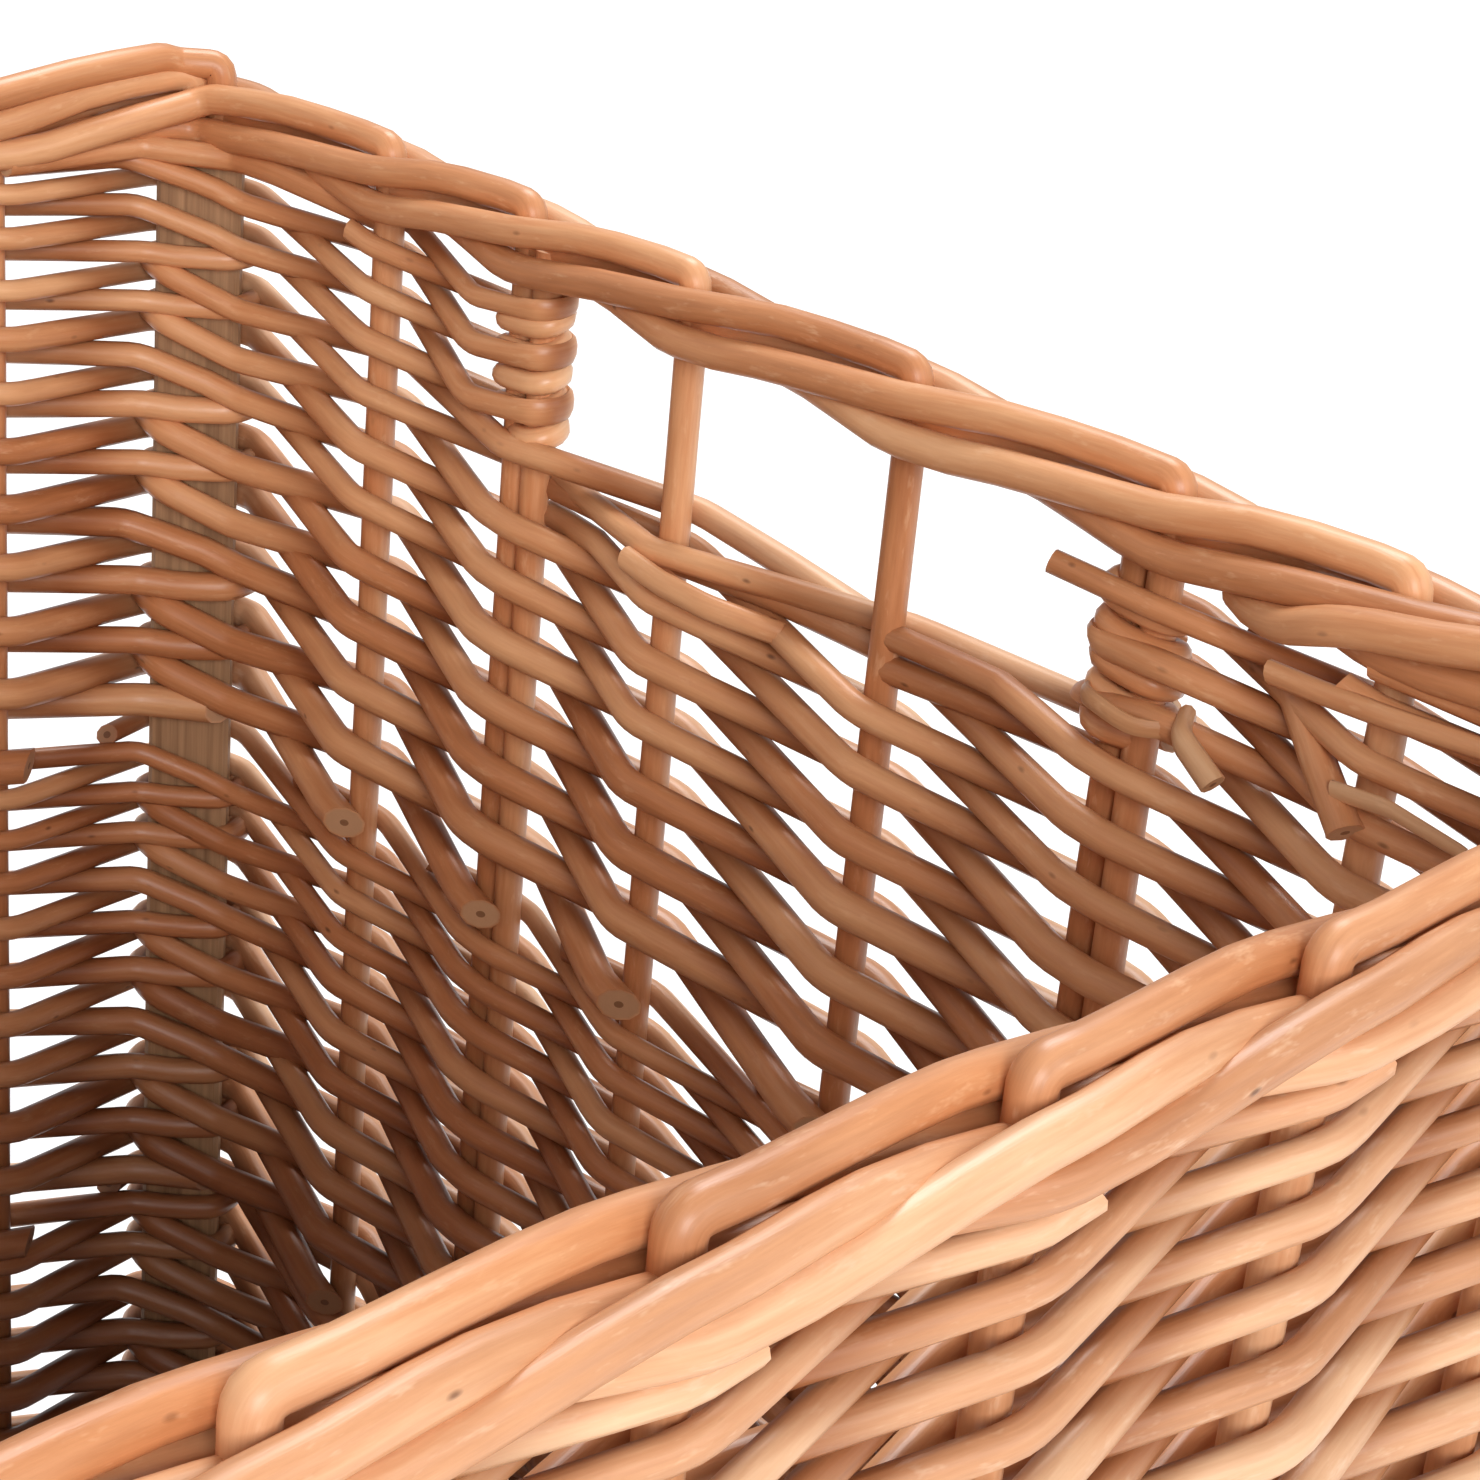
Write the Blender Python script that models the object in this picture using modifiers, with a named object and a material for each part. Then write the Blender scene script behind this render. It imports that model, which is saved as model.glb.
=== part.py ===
"""Rectangular willow storage basket.

Upright stakes stand round a woven base, four flat laths stiffen the corners, and the stakes are bent
down at the top into a rolled border. The walls are French randed: one weaver starts in every bay, and
each climbs a course from stake to stake, in front of one and behind the next. Both end walls have a
hand hole whose edges are doubled stakes, wound round.

Metres, +Z up. The long sides lie along X, and the origin is on the floor under the middle.
"""

import math

import bmesh
import bpy
from mathutils import Matrix, Vector

# Driving sizes
BASKET_LENGTH = 0.590  # between the stake planes of the end walls
BASKET_WIDTH = 0.450  # between the stake planes of the long walls
BASKET_HEIGHT = 0.420  # floor to the highest bend of the border
CORNER_RADIUS = 0.012  # of the stake line, in plan
STAKE_DIAMETER = 0.0066
SEAT_GAP = 0.0003  # between pieces that touch
CUT_OVERRUN = 0.010  # a cutter runs this far past what it cuts

# Stakes
LONG_WALL_END_BAY = 0.062  # corner to the first stake of a long wall
LONG_WALL_STAKES = 9
END_STAKE_SHARES = (0.175, 0.303, 0.449, 0.597, 0.712, 0.835)  # of the end wall, in the border's direction
HOLE_EDGE_STAKES = (1, 4)  # places in that list where the stake is doubled
STAKE_FOOT = 0.0015  # height of a stake's lower end

# Rolled border
ROD_PITCH = STAKE_DIAMETER + 0.00035  # centre to centre of rods that lie against each other
CROWN_SHARE = 1.20  # height of a stake's bend, in rod pitches over the border's middle
BEND_RADIUS = 0.0059
BEND_STEPS = 3
OVER_CROWN_SHARE = 2.25  # the second corner rod bends over the first
# Where a rod lies at each stake or part of a bay past its own: (bays, outward, up), the last two in rod pitches.
BORDER_RUN_SHARES = (
    (0.50, -0.35, 1.12),
    (1.00, -1.06, 0.56),
    (2.00, -1.06, -0.55),
    (2.20, -0.98, -0.70),
    (2.50, 0.00, -1.02),
    (2.80, 0.98, -0.78),
    (3.00, 1.06, -0.58),
    (4.00, 1.06, 0.52),
    (4.50, 0.90, 0.98),
    (4.80, 0.74, 1.22),
)
OVER_RUN_SHARES = (
    (0.50, -0.60, 2.20),
    (1.00, -1.06, 1.66),
    (1.50, -1.46, 1.08),
    (1.80, -1.90, 0.44),
    (2.00, -2.02, 0.00),
    (2.20, -2.02, -0.20),
    (2.50, -1.34, -1.02),
)
LOWEST_ROD_SHARE = 1.02  # depth of the crossing rod's centre under the border's middle

# Corner laths
LATH_WIDTH = 0.021
LATH_THICKNESS = 0.006
LATH_EDGE_ROUND = 0.0012
LATH_TOP_SHARE = 1.30  # depth of the lath's top under the border's middle, in rod pitches

# Base
BASE_THICKNESS = 0.015
BASE_WAVE = 0.0016  # how far the base's weave rises over a stick, and sinks between two
BASE_COURSES = 18
BASE_STICKS = 4
BASE_STICK_DIAMETER = 0.0070
WALE_WIDTH = 0.0069
WALE_EDGE_ROUND = 0.0026
ARC_STEPS = 4

# Weave of the walls
WEAVE_HALF = 0.0076  # half of the wall's thickness at a stake
WEAVE_WAVE = 0.0030  # how far a course swings to either side of the stakes
MID_BAY_HALF = 0.0045  # half of the wall's thickness between two stakes, where the weavers cross
COURSES = 22
BORE_SIDES = 8

# Hand holes
HOLE_DEPTH = 0.037  # clear height under the border
WINDING_DIAMETER = 0.0056
WINDING_TURNS = 4.5
WINDING_LOOP_POINTS = 16

# Colours (linear) and roughness
WILLOW = ((0.55, 0.25, 0.115, 1.0), 0.46)
WILLOW_LIGHT = ((0.62, 0.32, 0.16, 1.0), 0.40)
WILLOW_DARK = ((0.40, 0.17, 0.075, 1.0), 0.55)
LATH_WOOD = ((0.27, 0.15, 0.075, 1.0), 0.70)

# What follows from the sizes
STAKE_RADIUS = STAKE_DIAMETER / 2
ARC_LENGTH = math.pi / 2 * CORNER_RADIUS
BORDER_MIDDLE = BASKET_HEIGHT - OVER_CROWN_SHARE * ROD_PITCH - STAKE_RADIUS
BORDER_UNDERSIDE = BORDER_MIDDLE - LOWEST_ROD_SHARE * ROD_PITCH - STAKE_RADIUS
PANEL_FOOT = BASE_THICKNESS + SEAT_GAP
PANEL_TOP = BORDER_UNDERSIDE - SEAT_GAP
HOLE_BOTTOM = PANEL_TOP - HOLE_DEPTH
WINDING_RADIUS = STAKE_RADIUS + SEAT_GAP + WINDING_DIAMETER / 2  # of its turns, round a stake's axis
WINDING_REACH = ROD_PITCH / 2 + WINDING_RADIUS + WINDING_DIAMETER  # from the pair's middle to its ends
CORNER_SAG = CORNER_RADIUS * (1 - math.cos(ROD_PITCH / 2 / CORNER_RADIUS))  # two corner stakes, inwards of the arc
LATH_INSET = CORNER_SAG + STAKE_RADIUS + SEAT_GAP + LATH_THICKNESS / 2  # lath's middle, inwards of the arc

# Walls in the border's direction, anticlockwise from above: (name, first corner, heading, length)
WALLS = (
    ("right_end", Vector((BASKET_LENGTH / 2, -BASKET_WIDTH / 2, 0)), Vector((0, 1, 0)), BASKET_WIDTH),
    ("back", Vector((BASKET_LENGTH / 2, BASKET_WIDTH / 2, 0)), Vector((-1, 0, 0)), BASKET_LENGTH),
    ("left_end", Vector((-BASKET_LENGTH / 2, BASKET_WIDTH / 2, 0)), Vector((0, -1, 0)), BASKET_WIDTH),
    ("front", Vector((-BASKET_LENGTH / 2, -BASKET_WIDTH / 2, 0)), Vector((1, 0, 0)), BASKET_LENGTH),
)
CORNER_NAMES = ("back_right", "back_left", "front_left", "front_right")  # the corner that ends each wall
UP = Vector((0, 0, 1))


def straight_run(wall):
    """Length of a wall's straight part."""
    return WALLS[wall][3] - 2 * CORNER_RADIUS


def wall_start(wall):
    """Where a wall's straight part starts, along the stake line."""
    return sum(straight_run(before) + ARC_LENGTH for before in range(wall))


STAKE_LINE = wall_start(len(WALLS))


def place(along, outward=0.0, height=0.0):
    """The point this far along the stake line, outward of it, and up."""
    along %= STAKE_LINE
    for _, corner, heading, length in WALLS:
        side = heading.cross(UP)
        straight = length - 2 * CORNER_RADIUS
        if along <= straight:
            return corner + heading * (CORNER_RADIUS + along) + side * outward + UP * height
        along -= straight
        if along <= ARC_LENGTH:
            centre = corner + heading * (length - CORNER_RADIUS) - side * CORNER_RADIUS
            side = Matrix.Rotation(along / CORNER_RADIUS, 3, UP) @ side
            return centre + side * (CORNER_RADIUS + outward) + UP * height
        along -= ARC_LENGTH
    raise ValueError("past the end of the stake line")


def on_wall(wall, from_corner):
    """Turns a distance from a wall's first corner into a distance along the stake line."""
    return wall_start(wall) + from_corner - CORNER_RADIUS


def corner_place(wall):
    """The middle of the corner that ends this wall."""
    return wall_start(wall) + straight_run(wall) + ARC_LENGTH / 2


def is_end(wall):
    return wall % 2 == 0


def stakes_of(wall):
    """Distances along the stake line of a wall's stakes; of a doubled one, its middle."""
    if is_end(wall):
        return [on_wall(wall, share * BASKET_WIDTH) for share in END_STAKE_SHARES]
    pitch = (BASKET_LENGTH - 2 * LONG_WALL_END_BAY) / (LONG_WALL_STAKES - 1)
    return [on_wall(wall, LONG_WALL_END_BAY + pitch * number) for number in range(LONG_WALL_STAKES)]


def hole_side(number):
    """+1 where the hand hole lies past this doubled stake, -1 where it lies before it."""
    return 1 if number == HOLE_EDGE_STAKES[0] else -1


def border_stakes():
    """Every stake that takes a turn in the border: (name, distance along the line, standing offset)."""
    found = []
    for wall, (wall_name, *_) in enumerate(WALLS):
        for number, along in enumerate(stakes_of(wall)):
            if is_end(wall) and number in HOLE_EDGE_STAKES:
                along -= hole_side(number) * ROD_PITCH / 2
            found.append((f"stake_{wall_name}_{number + 1}", along, 0.0))
        found.append((f"corner_stake_{CORNER_NAMES[wall]}", corner_place(wall), ROD_PITCH / 2))
    return found


BORDER_STAKES = border_stakes()


def principled(name, colour, roughness):
    material = bpy.data.materials.new(name)
    material.use_nodes = True
    shader = material.node_tree.nodes["Principled BSDF"]
    shader.inputs["Base Color"].default_value = colour
    shader.inputs["Roughness"].default_value = roughness
    shader.inputs["Metallic"].default_value = 0.0
    material.diffuse_color = colour
    return material


def collection_named(name):
    made = bpy.data.collections.new(name)
    bpy.context.scene.collection.children.link(made)
    return made


def rod(name, points, diameter, look, collection):
    """A round rod through the points, as a curve with a bevel."""
    curve = bpy.data.curves.new(name, "CURVE")
    curve.dimensions = "3D"
    curve.bevel_depth = diameter / 2
    curve.bevel_resolution = 1
    curve.use_fill_caps = True
    spline = curve.splines.new("POLY")
    spline.points.add(len(points) - 1)
    for spot, point in zip(spline.points, points):
        spot.co = (*point, 1)
    curve.materials.append(principled(name, *look))
    made = bpy.data.objects.new(name, curve)
    collection.objects.link(made)
    return made


def mesh_object(name, bm, collection, look=None):
    """The bmesh as an object. With no look it is a cutter, which isn't part of the basket."""
    bmesh.ops.recalc_face_normals(bm, faces=bm.faces)
    mesh = bpy.data.meshes.new(name)
    bm.to_mesh(mesh)
    bm.free()
    made = bpy.data.objects.new(name, mesh)
    collection.objects.link(made)
    if look:
        mesh.materials.append(principled(name, *look))
    else:
        made.hide_render = True
        made.display_type = "WIRE"
    return made


def cut(target, cutter):
    boolean = target.modifiers.new(f"cut by {cutter.name}", "BOOLEAN")
    boolean.operation = "DIFFERENCE"
    boolean.solver = "EXACT"
    boolean.object = cutter


def bend(along, crown):
    """A stake's top: up, and over into the border's direction."""
    points = []
    for step in range(BEND_STEPS + 1):
        angle = math.pi / 2 * step / BEND_STEPS
        forward = BEND_RADIUS * (1 - math.cos(angle))
        down = BEND_RADIUS * (1 - math.sin(angle))
        points.append(place(along + forward, 0.0, crown - down))
    return points


def share_between(bays, run):
    """Outward and up of a border rod at this many bays, between the places in its list."""
    for (bays0, out0, up0), (bays1, out1, up1) in zip(run, run[1:]):
        if bays0 <= bays <= bays1:
            part = (bays - bays0) / (bays1 - bays0)
            return out0 + part * (out1 - out0), up0 + part * (up1 - up0)
    raise ValueError("outside the run")


def border_run(index, run):
    """The points of a border rod past its bend, with more of them where it rounds a corner."""
    count = len(BORDER_STAKES)

    def along_at(bays):
        before = math.floor(bays)
        here = BORDER_STAKES[(index + before) % count][1]
        step = (BORDER_STAKES[(index + before + 1) % count][1] - here) % STAKE_LINE
        ahead = sum(
            (BORDER_STAKES[(index + n + 1) % count][1] - BORDER_STAKES[(index + n) % count][1]) % STAKE_LINE
            for n in range(before)
        )
        return BORDER_STAKES[index][1] + ahead + (bays - before) * step

    stops = {bays for bays, _, _ in run}
    for passed in range(1, math.ceil(run[-1][0])):
        if not BORDER_STAKES[(index + passed) % count][0].startswith("corner"):
            continue
        for side in (-1, 1):
            bay = abs(along_at(passed + side) - along_at(passed))
            for part in (0.5, 1.0):
                bays = passed + side * part * ARC_LENGTH / 2 / bay
                if run[0][0] < bays < run[-1][0]:
                    stops.add(bays)
    points = []
    for bays in sorted(stops):
        outward, up = share_between(bays, run)
        points.append(place(along_at(bays), outward * ROD_PITCH, BORDER_MIDDLE + up * ROD_PITCH))
    return points


def make_stakes(collection):
    """Each stake stands in the wall, bends over and runs round the border: in, down, under and out."""
    crown = BORDER_MIDDLE + CROWN_SHARE * ROD_PITCH
    for index, (name, along, offset) in enumerate(BORDER_STAKES):
        standing = along + offset
        points = [place(standing, 0.0, STAKE_FOOT)]
        points += bend(standing, crown)
        points += border_run(index, BORDER_RUN_SHARES)
        rod(name, points, STAKE_DIAMETER, WILLOW, collection)


def make_second_corner_rods(collection):
    """A second rod beside each corner stake, bent over it and tucked in on the inside."""
    crown = BORDER_MIDDLE + OVER_CROWN_SHARE * ROD_PITCH
    for index, (name, along, _) in enumerate(BORDER_STAKES):
        if not name.startswith("corner"):
            continue
        standing = along - ROD_PITCH / 2
        points = [place(standing, 0.0, STAKE_FOOT)]
        points += bend(standing, crown)
        points += border_run(index, OVER_RUN_SHARES)
        rod(name.replace("corner_stake", "corner_rod"), points, STAKE_DIAMETER, WILLOW, collection)


def make_hole_edges(collection):
    """Beside each hole-edge stake a straight second rod, and the winding round the two."""
    for wall, (wall_name, *_) in enumerate(WALLS):
        if not is_end(wall):
            continue
        for number in HOLE_EDGE_STAKES:
            middle = stakes_of(wall)[number]
            side = hole_side(number)
            beside = middle + side * ROD_PITCH / 2
            ends = [place(beside, 0.0, STAKE_FOOT), place(beside, 0.0, BORDER_MIDDLE)]
            rod(f"by_stake_{wall_name}_{number + 1}", ends, STAKE_DIAMETER, WILLOW, collection)
            points = winding_points(middle, side)
            made = rod(f"winding_{wall_name}_{number + 1}", points, WINDING_DIAMETER, WILLOW_LIGHT, collection)
            print(f"{made.name}: least gap between turns {least_gap(points) * 1000:.2f} mm")


def winding_points(middle, side):
    """A helix round a pair of rods, both ends running away from the hole along the wall."""
    low = HOLE_BOTTOM + WINDING_DIAMETER / 2 + SEAT_GAP
    high = PANEL_TOP - WINDING_DIAMETER / 2
    steps = round(WINDING_TURNS * WINDING_LOOP_POINTS)
    points = [place(middle - side * WINDING_REACH, -WINDING_RADIUS, low)]
    for step in range(steps + 1):
        turn = 2 * math.pi * step / WINDING_LOOP_POINTS
        lean = math.sin(turn)
        pair_offset = ROD_PITCH / 2 * max(-1.0, min(1.0, 2 * lean))
        forward = pair_offset + WINDING_RADIUS * lean
        outward = -WINDING_RADIUS * math.cos(turn)
        height = low + (high - low) * step / steps
        points.append(place(middle + side * forward, outward, height))
    points.append(place(middle - side * WINDING_REACH, WINDING_RADIUS, high))
    return points


def least_gap(points):
    """The least clear distance between one turn and the next, on the points."""
    turn = WINDING_LOOP_POINTS
    apart = [(points[n] - points[m]).length for n in range(len(points)) for m in range(n + turn - 2, len(points))]
    return min(apart) - WINDING_DIAMETER


def corner_frame(wall):
    """Where a corner lath stands, turned so that its face looks into the basket."""
    middle = place(corner_place(wall), -LATH_INSET)
    outward = (place(corner_place(wall), CORNER_RADIUS) - place(corner_place(wall))).normalized()
    turned = Matrix.Rotation(math.atan2(outward.y, outward.x), 4, "Z")
    return Matrix.Translation(middle) @ turned


def lath_block(wall, grown):
    """The lath's box, from the base to the border, grown on all sides by this much."""
    foot = BASE_THICKNESS + SEAT_GAP - grown
    top = BORDER_MIDDLE - LATH_TOP_SHARE * ROD_PITCH + grown
    bm = bmesh.new()
    bmesh.ops.create_cube(bm, size=1.0)
    size = (LATH_THICKNESS + 2 * grown, LATH_WIDTH + 2 * grown, top - foot)
    bmesh.ops.scale(bm, vec=size, verts=bm.verts)
    bmesh.ops.translate(bm, vec=(0, 0, (top + foot) / 2), verts=bm.verts)
    bmesh.ops.transform(bm, matrix=corner_frame(wall), verts=bm.verts)
    return bm


def make_laths(collection):
    for wall, corner in enumerate(CORNER_NAMES):
        made = mesh_object(f"corner_lath_{corner}", lath_block(wall, 0.0), collection, LATH_WOOD)
        soften = made.modifiers.new("worn edges", "BEVEL")
        soften.width = LATH_EDGE_ROUND
        soften.segments = 1


def ring_outline(outward):
    """The stake line, this far out, as corner arcs joined by straight runs."""
    points = []
    for wall in range(len(WALLS)):
        arc_start = wall_start(wall) + straight_run(wall)
        for step in range(ARC_STEPS + 1):
            points.append(place(arc_start + ARC_LENGTH * step / ARC_STEPS, outward))
    return points


def make_wale(collection):
    """The thick band of weaving round the foot of the stakes."""
    inner = ring_outline(STAKE_RADIUS + SEAT_GAP)
    outer = ring_outline(STAKE_RADIUS + SEAT_GAP + WALE_WIDTH)
    bm = bmesh.new()
    loops = []
    for outline in (inner, outer):
        verts = [bm.verts.new(point) for point in outline]
        loops.append([bm.edges.new((a, b)) for a, b in zip(verts, verts[1:] + verts[:1])])
    bmesh.ops.bridge_loops(bm, edges=loops[0] + loops[1])
    raised = bmesh.ops.extrude_face_region(bm, geom=list(bm.faces))
    lifted = [item for item in raised["geom"] if isinstance(item, bmesh.types.BMVert)]
    bmesh.ops.translate(bm, vec=UP * BASE_THICKNESS, verts=lifted)
    made = mesh_object("bottom_wale", bm, collection, WILLOW)
    soften = made.modifiers.new("rounded band", "BEVEL")
    soften.width = WALE_EDGE_ROUND
    soften.segments = 1
    soften.limit_method = "ANGLE"
    soften.angle_limit = math.radians(60)


def make_base(collection, cutters):
    """A woven slab inside the foot of the stakes, whose courses pass over and under the bottom sticks."""
    edge = STAKE_RADIUS + SEAT_GAP
    length = BASKET_LENGTH - 2 * edge
    width = BASKET_WIDTH - 2 * edge
    bm = bmesh.new()
    bmesh.ops.create_grid(bm, x_segments=BASE_COURSES, y_segments=BASE_STICKS * 2, size=0.5)
    for vert in bm.verts:
        column = round((vert.co.x + 0.5) * BASE_COURSES)
        row = round((vert.co.y + 0.5) * BASE_STICKS * 2)
        over = row % 2 and (column + row // 2) % 2 == 0
        under = row % 2 and not over
        rise = BASE_WAVE if over else -BASE_WAVE / 2 if under else -BASE_WAVE
        vert.co = (vert.co.x * length, vert.co.y * width, BASE_THICKNESS - BASE_WAVE + rise)
    raised = bmesh.ops.extrude_face_region(bm, geom=list(bm.faces))
    for item in raised["geom"]:
        if isinstance(item, bmesh.types.BMVert):
            item.co.z = 0.0
    base = mesh_object("base_weave", bm, collection, WILLOW_DARK)
    outline = bmesh.new()
    ring = [outline.verts.new(point - UP * CUT_OVERRUN) for point in ring_outline(-edge)]
    outline.faces.new(ring)
    raised = bmesh.ops.extrude_face_region(outline, geom=list(outline.faces))
    lifted = [item for item in raised["geom"] if isinstance(item, bmesh.types.BMVert)]
    bmesh.ops.translate(outline, vec=UP * (BASE_THICKNESS + 2 * CUT_OVERRUN), verts=lifted)
    keep = mesh_object("base_outline", outline, cutters)
    rounded = base.modifiers.new("rounded corners", "BOOLEAN")
    rounded.operation = "INTERSECT"
    rounded.solver = "EXACT"
    rounded.object = keep
    bores = bmesh.new()
    stick_height = (BASE_THICKNESS - BASE_WAVE) / 2
    half = length / 2 - SEAT_GAP
    for number in range(BASE_STICKS):
        across = width * ((number + 0.5) / BASE_STICKS - 0.5)
        ends = [Vector((-half, across, stick_height)), Vector((half, across, stick_height))]
        rod(f"base_stick_{number + 1}", ends, BASE_STICK_DIAMETER, LATH_WOOD, collection)
        turned = Matrix.Translation((0, across, stick_height)) @ Matrix.Rotation(math.pi / 2, 4, "Y")
        add_bore(bores, turned, BASE_STICK_DIAMETER, length + 2 * CUT_OVERRUN)
    cut(base, mesh_object("base_bores", bores, cutters))


def add_bore(bm, matrix, diameter, depth, stretch=0.0):
    """A cylinder that clears a rod of this diameter by the seat gap, stretched along its X to clear two."""
    radius = (diameter / 2 + SEAT_GAP) / math.cos(math.pi / BORE_SIDES)
    made = bmesh.ops.create_cone(
        bm,
        cap_ends=True,
        segments=BORE_SIDES,
        radius1=radius,
        radius2=radius,
        depth=depth,
        matrix=Matrix.Rotation(math.pi / BORE_SIDES, 4, "Z"),
    )
    for vert in made["verts"]:
        vert.co.x += math.copysign(stretch / 2, vert.co.x)
    bmesh.ops.transform(bm, matrix=matrix, verts=made["verts"])


def upright_bores(name, places, cutters):
    """Cutters for the rods that stand at these places: (distance along the stake line, whether doubled)."""
    bm = bmesh.new()
    middle = (PANEL_FOOT + PANEL_TOP) / 2
    depth = PANEL_TOP - PANEL_FOOT + 2 * CUT_OVERRUN
    for along, doubled in places:
        first = place(along - ROD_PITCH / 2, 0.0, middle)
        second = place(along + ROD_PITCH / 2, 0.0, middle)
        turned = Matrix.Rotation(math.atan2(second.y - first.y, second.x - first.x), 4, "Z")
        matrix = Matrix.Translation((first + second) / 2) @ turned
        add_bore(bm, matrix, STAKE_DIAMETER, depth, ROD_PITCH if doubled else 0.0)
    return mesh_object(name, bm, cutters)


def mitre_block(name, wall, side, cutters):
    """A block past the diagonal of the corner that ends this wall, on the one side or the other."""
    bm = bmesh.new()
    bmesh.ops.create_cube(bm, size=1.0)
    reach = 4 * (CORNER_RADIUS + WEAVE_HALF)
    bmesh.ops.scale(bm, vec=(reach, reach, PANEL_TOP + 2 * CUT_OVERRUN), verts=bm.verts)
    move = (0, side * (reach - SEAT_GAP) / 2, PANEL_TOP / 2)
    bmesh.ops.translate(bm, vec=move, verts=bm.verts)
    bmesh.ops.transform(bm, matrix=corner_frame(wall), verts=bm.verts)
    return mesh_object(name, bm, cutters)


def panel_stations(wall):
    """Places along the stake line where the weave is bent: (distance, courses climbed, half thickness, swing)."""
    before = wall - 1 if wall else len(WALLS) - 1
    first = corner_place(before) - (STAKE_LINE if before > wall else 0)
    last = corner_place(wall)
    stakes = stakes_of(wall)
    bays = len(stakes) + 1
    overrun = CORNER_RADIUS / 2
    stations = [(along, 0, WEAVE_HALF, 0.0) for along in (first - overrun, first, first + ARC_LENGTH / 2)]
    for number, (along, after) in enumerate(zip(stakes, stakes[1:] + [last])):
        if number == 0:
            stations.append(((first + along) / 2, 0.5, MID_BAY_HALF, 0.0))
        stations.append((along, number + 1, WEAVE_HALF, WEAVE_WAVE))
        stations.append(((along + after) / 2, number + 1.5, MID_BAY_HALF, 0.0))
    stations += [(along, bays, WEAVE_HALF, 0.0) for along in (last - ARC_LENGTH / 2, last, last + overrun)]
    return stations, bays


def make_panel(wall, collection, cutters):
    """A French randed wall: its courses climb from stake to stake, outside of one and inside of the next."""
    name = WALLS[wall][0]
    stations, bays = panel_stations(wall)
    columns = len(stations) - 1
    rows = COURSES + bays
    bm = bmesh.new()
    bmesh.ops.create_grid(bm, x_segments=columns, y_segments=rows, size=0.5)
    raised = bmesh.ops.extrude_face_region(bm, geom=list(bm.faces))
    outer = {item for item in raised["geom"] if isinstance(item, bmesh.types.BMVert)}
    for vert in bm.verts:
        along, climbed, half, wave = stations[round((vert.co.x + 0.5) * columns)]
        course = round((vert.co.y + 0.5) * rows) - bays + climbed
        swing = wave * (-1) ** round(course) if 0 < course < COURSES else 0.0
        outward = swing + (half if vert in outer else -half)
        height = PANEL_FOOT + (PANEL_TOP - PANEL_FOOT) * min(max(course / COURSES, 0.0), 1.0)
        vert.co = place(along, outward, height)
    bmesh.ops.remove_doubles(bm, verts=bm.verts, dist=SEAT_GAP / 10)
    panel = mesh_object(f"weave_{name}", bm, collection, WILLOW)
    standing = [
        (along, is_end(wall) and number in HOLE_EDGE_STAKES) for number, along in enumerate(stakes_of(wall))
    ]
    cut(panel, upright_bores(f"{name}_bores", standing, cutters))
    for corner, side in ((wall - 1 if wall else len(WALLS) - 1, -1), (wall, 1)):
        label = f"{name}_{CORNER_NAMES[corner]}"
        cut(panel, mitre_block(f"{label}_mitre", corner, side, cutters))
        cut(panel, mesh_object(f"{label}_lath_cutter", lath_block(corner, SEAT_GAP), cutters))
        corner_rods = [(corner_place(corner), True)]
        cut(panel, upright_bores(f"{label}_rods", corner_rods, cutters))
    if is_end(wall):
        cut(panel, hand_hole(wall, cutters))


def hand_hole(wall, cutters):
    """The notch under the border, wide enough for the wound edges too."""
    edges = [stakes_of(wall)[number] for number in HOLE_EDGE_STAKES]
    margin = WINDING_REACH + SEAT_GAP
    start = place(edges[0] - margin)
    end = place(edges[1] + margin)
    bm = bmesh.new()
    bmesh.ops.create_cube(bm, size=1.0)
    depth = 4 * WEAVE_HALF
    height = HOLE_DEPTH + CUT_OVERRUN
    bmesh.ops.scale(bm, vec=(depth, (end - start).length, height), verts=bm.verts)
    middle = (start + end) / 2
    middle.z = HOLE_BOTTOM + height / 2
    bmesh.ops.translate(bm, vec=middle, verts=bm.verts)
    return mesh_object(f"{WALLS[wall][0]}_hand_hole", bm, cutters)


def main():
    for old in list(bpy.data.objects):
        bpy.data.objects.remove(old, do_unlink=True)
    basket = collection_named("wicker_storage_basket")
    cutters = collection_named("cutters")
    make_stakes(basket)
    make_second_corner_rods(basket)
    make_hole_edges(basket)
    make_laths(basket)
    make_wale(basket)
    make_base(basket, cutters)
    for wall in range(len(WALLS)):
        make_panel(wall, basket, cutters)


main()
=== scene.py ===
import math
import random

import bmesh
import bpy
from mathutils import Matrix, Vector, noise


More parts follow.
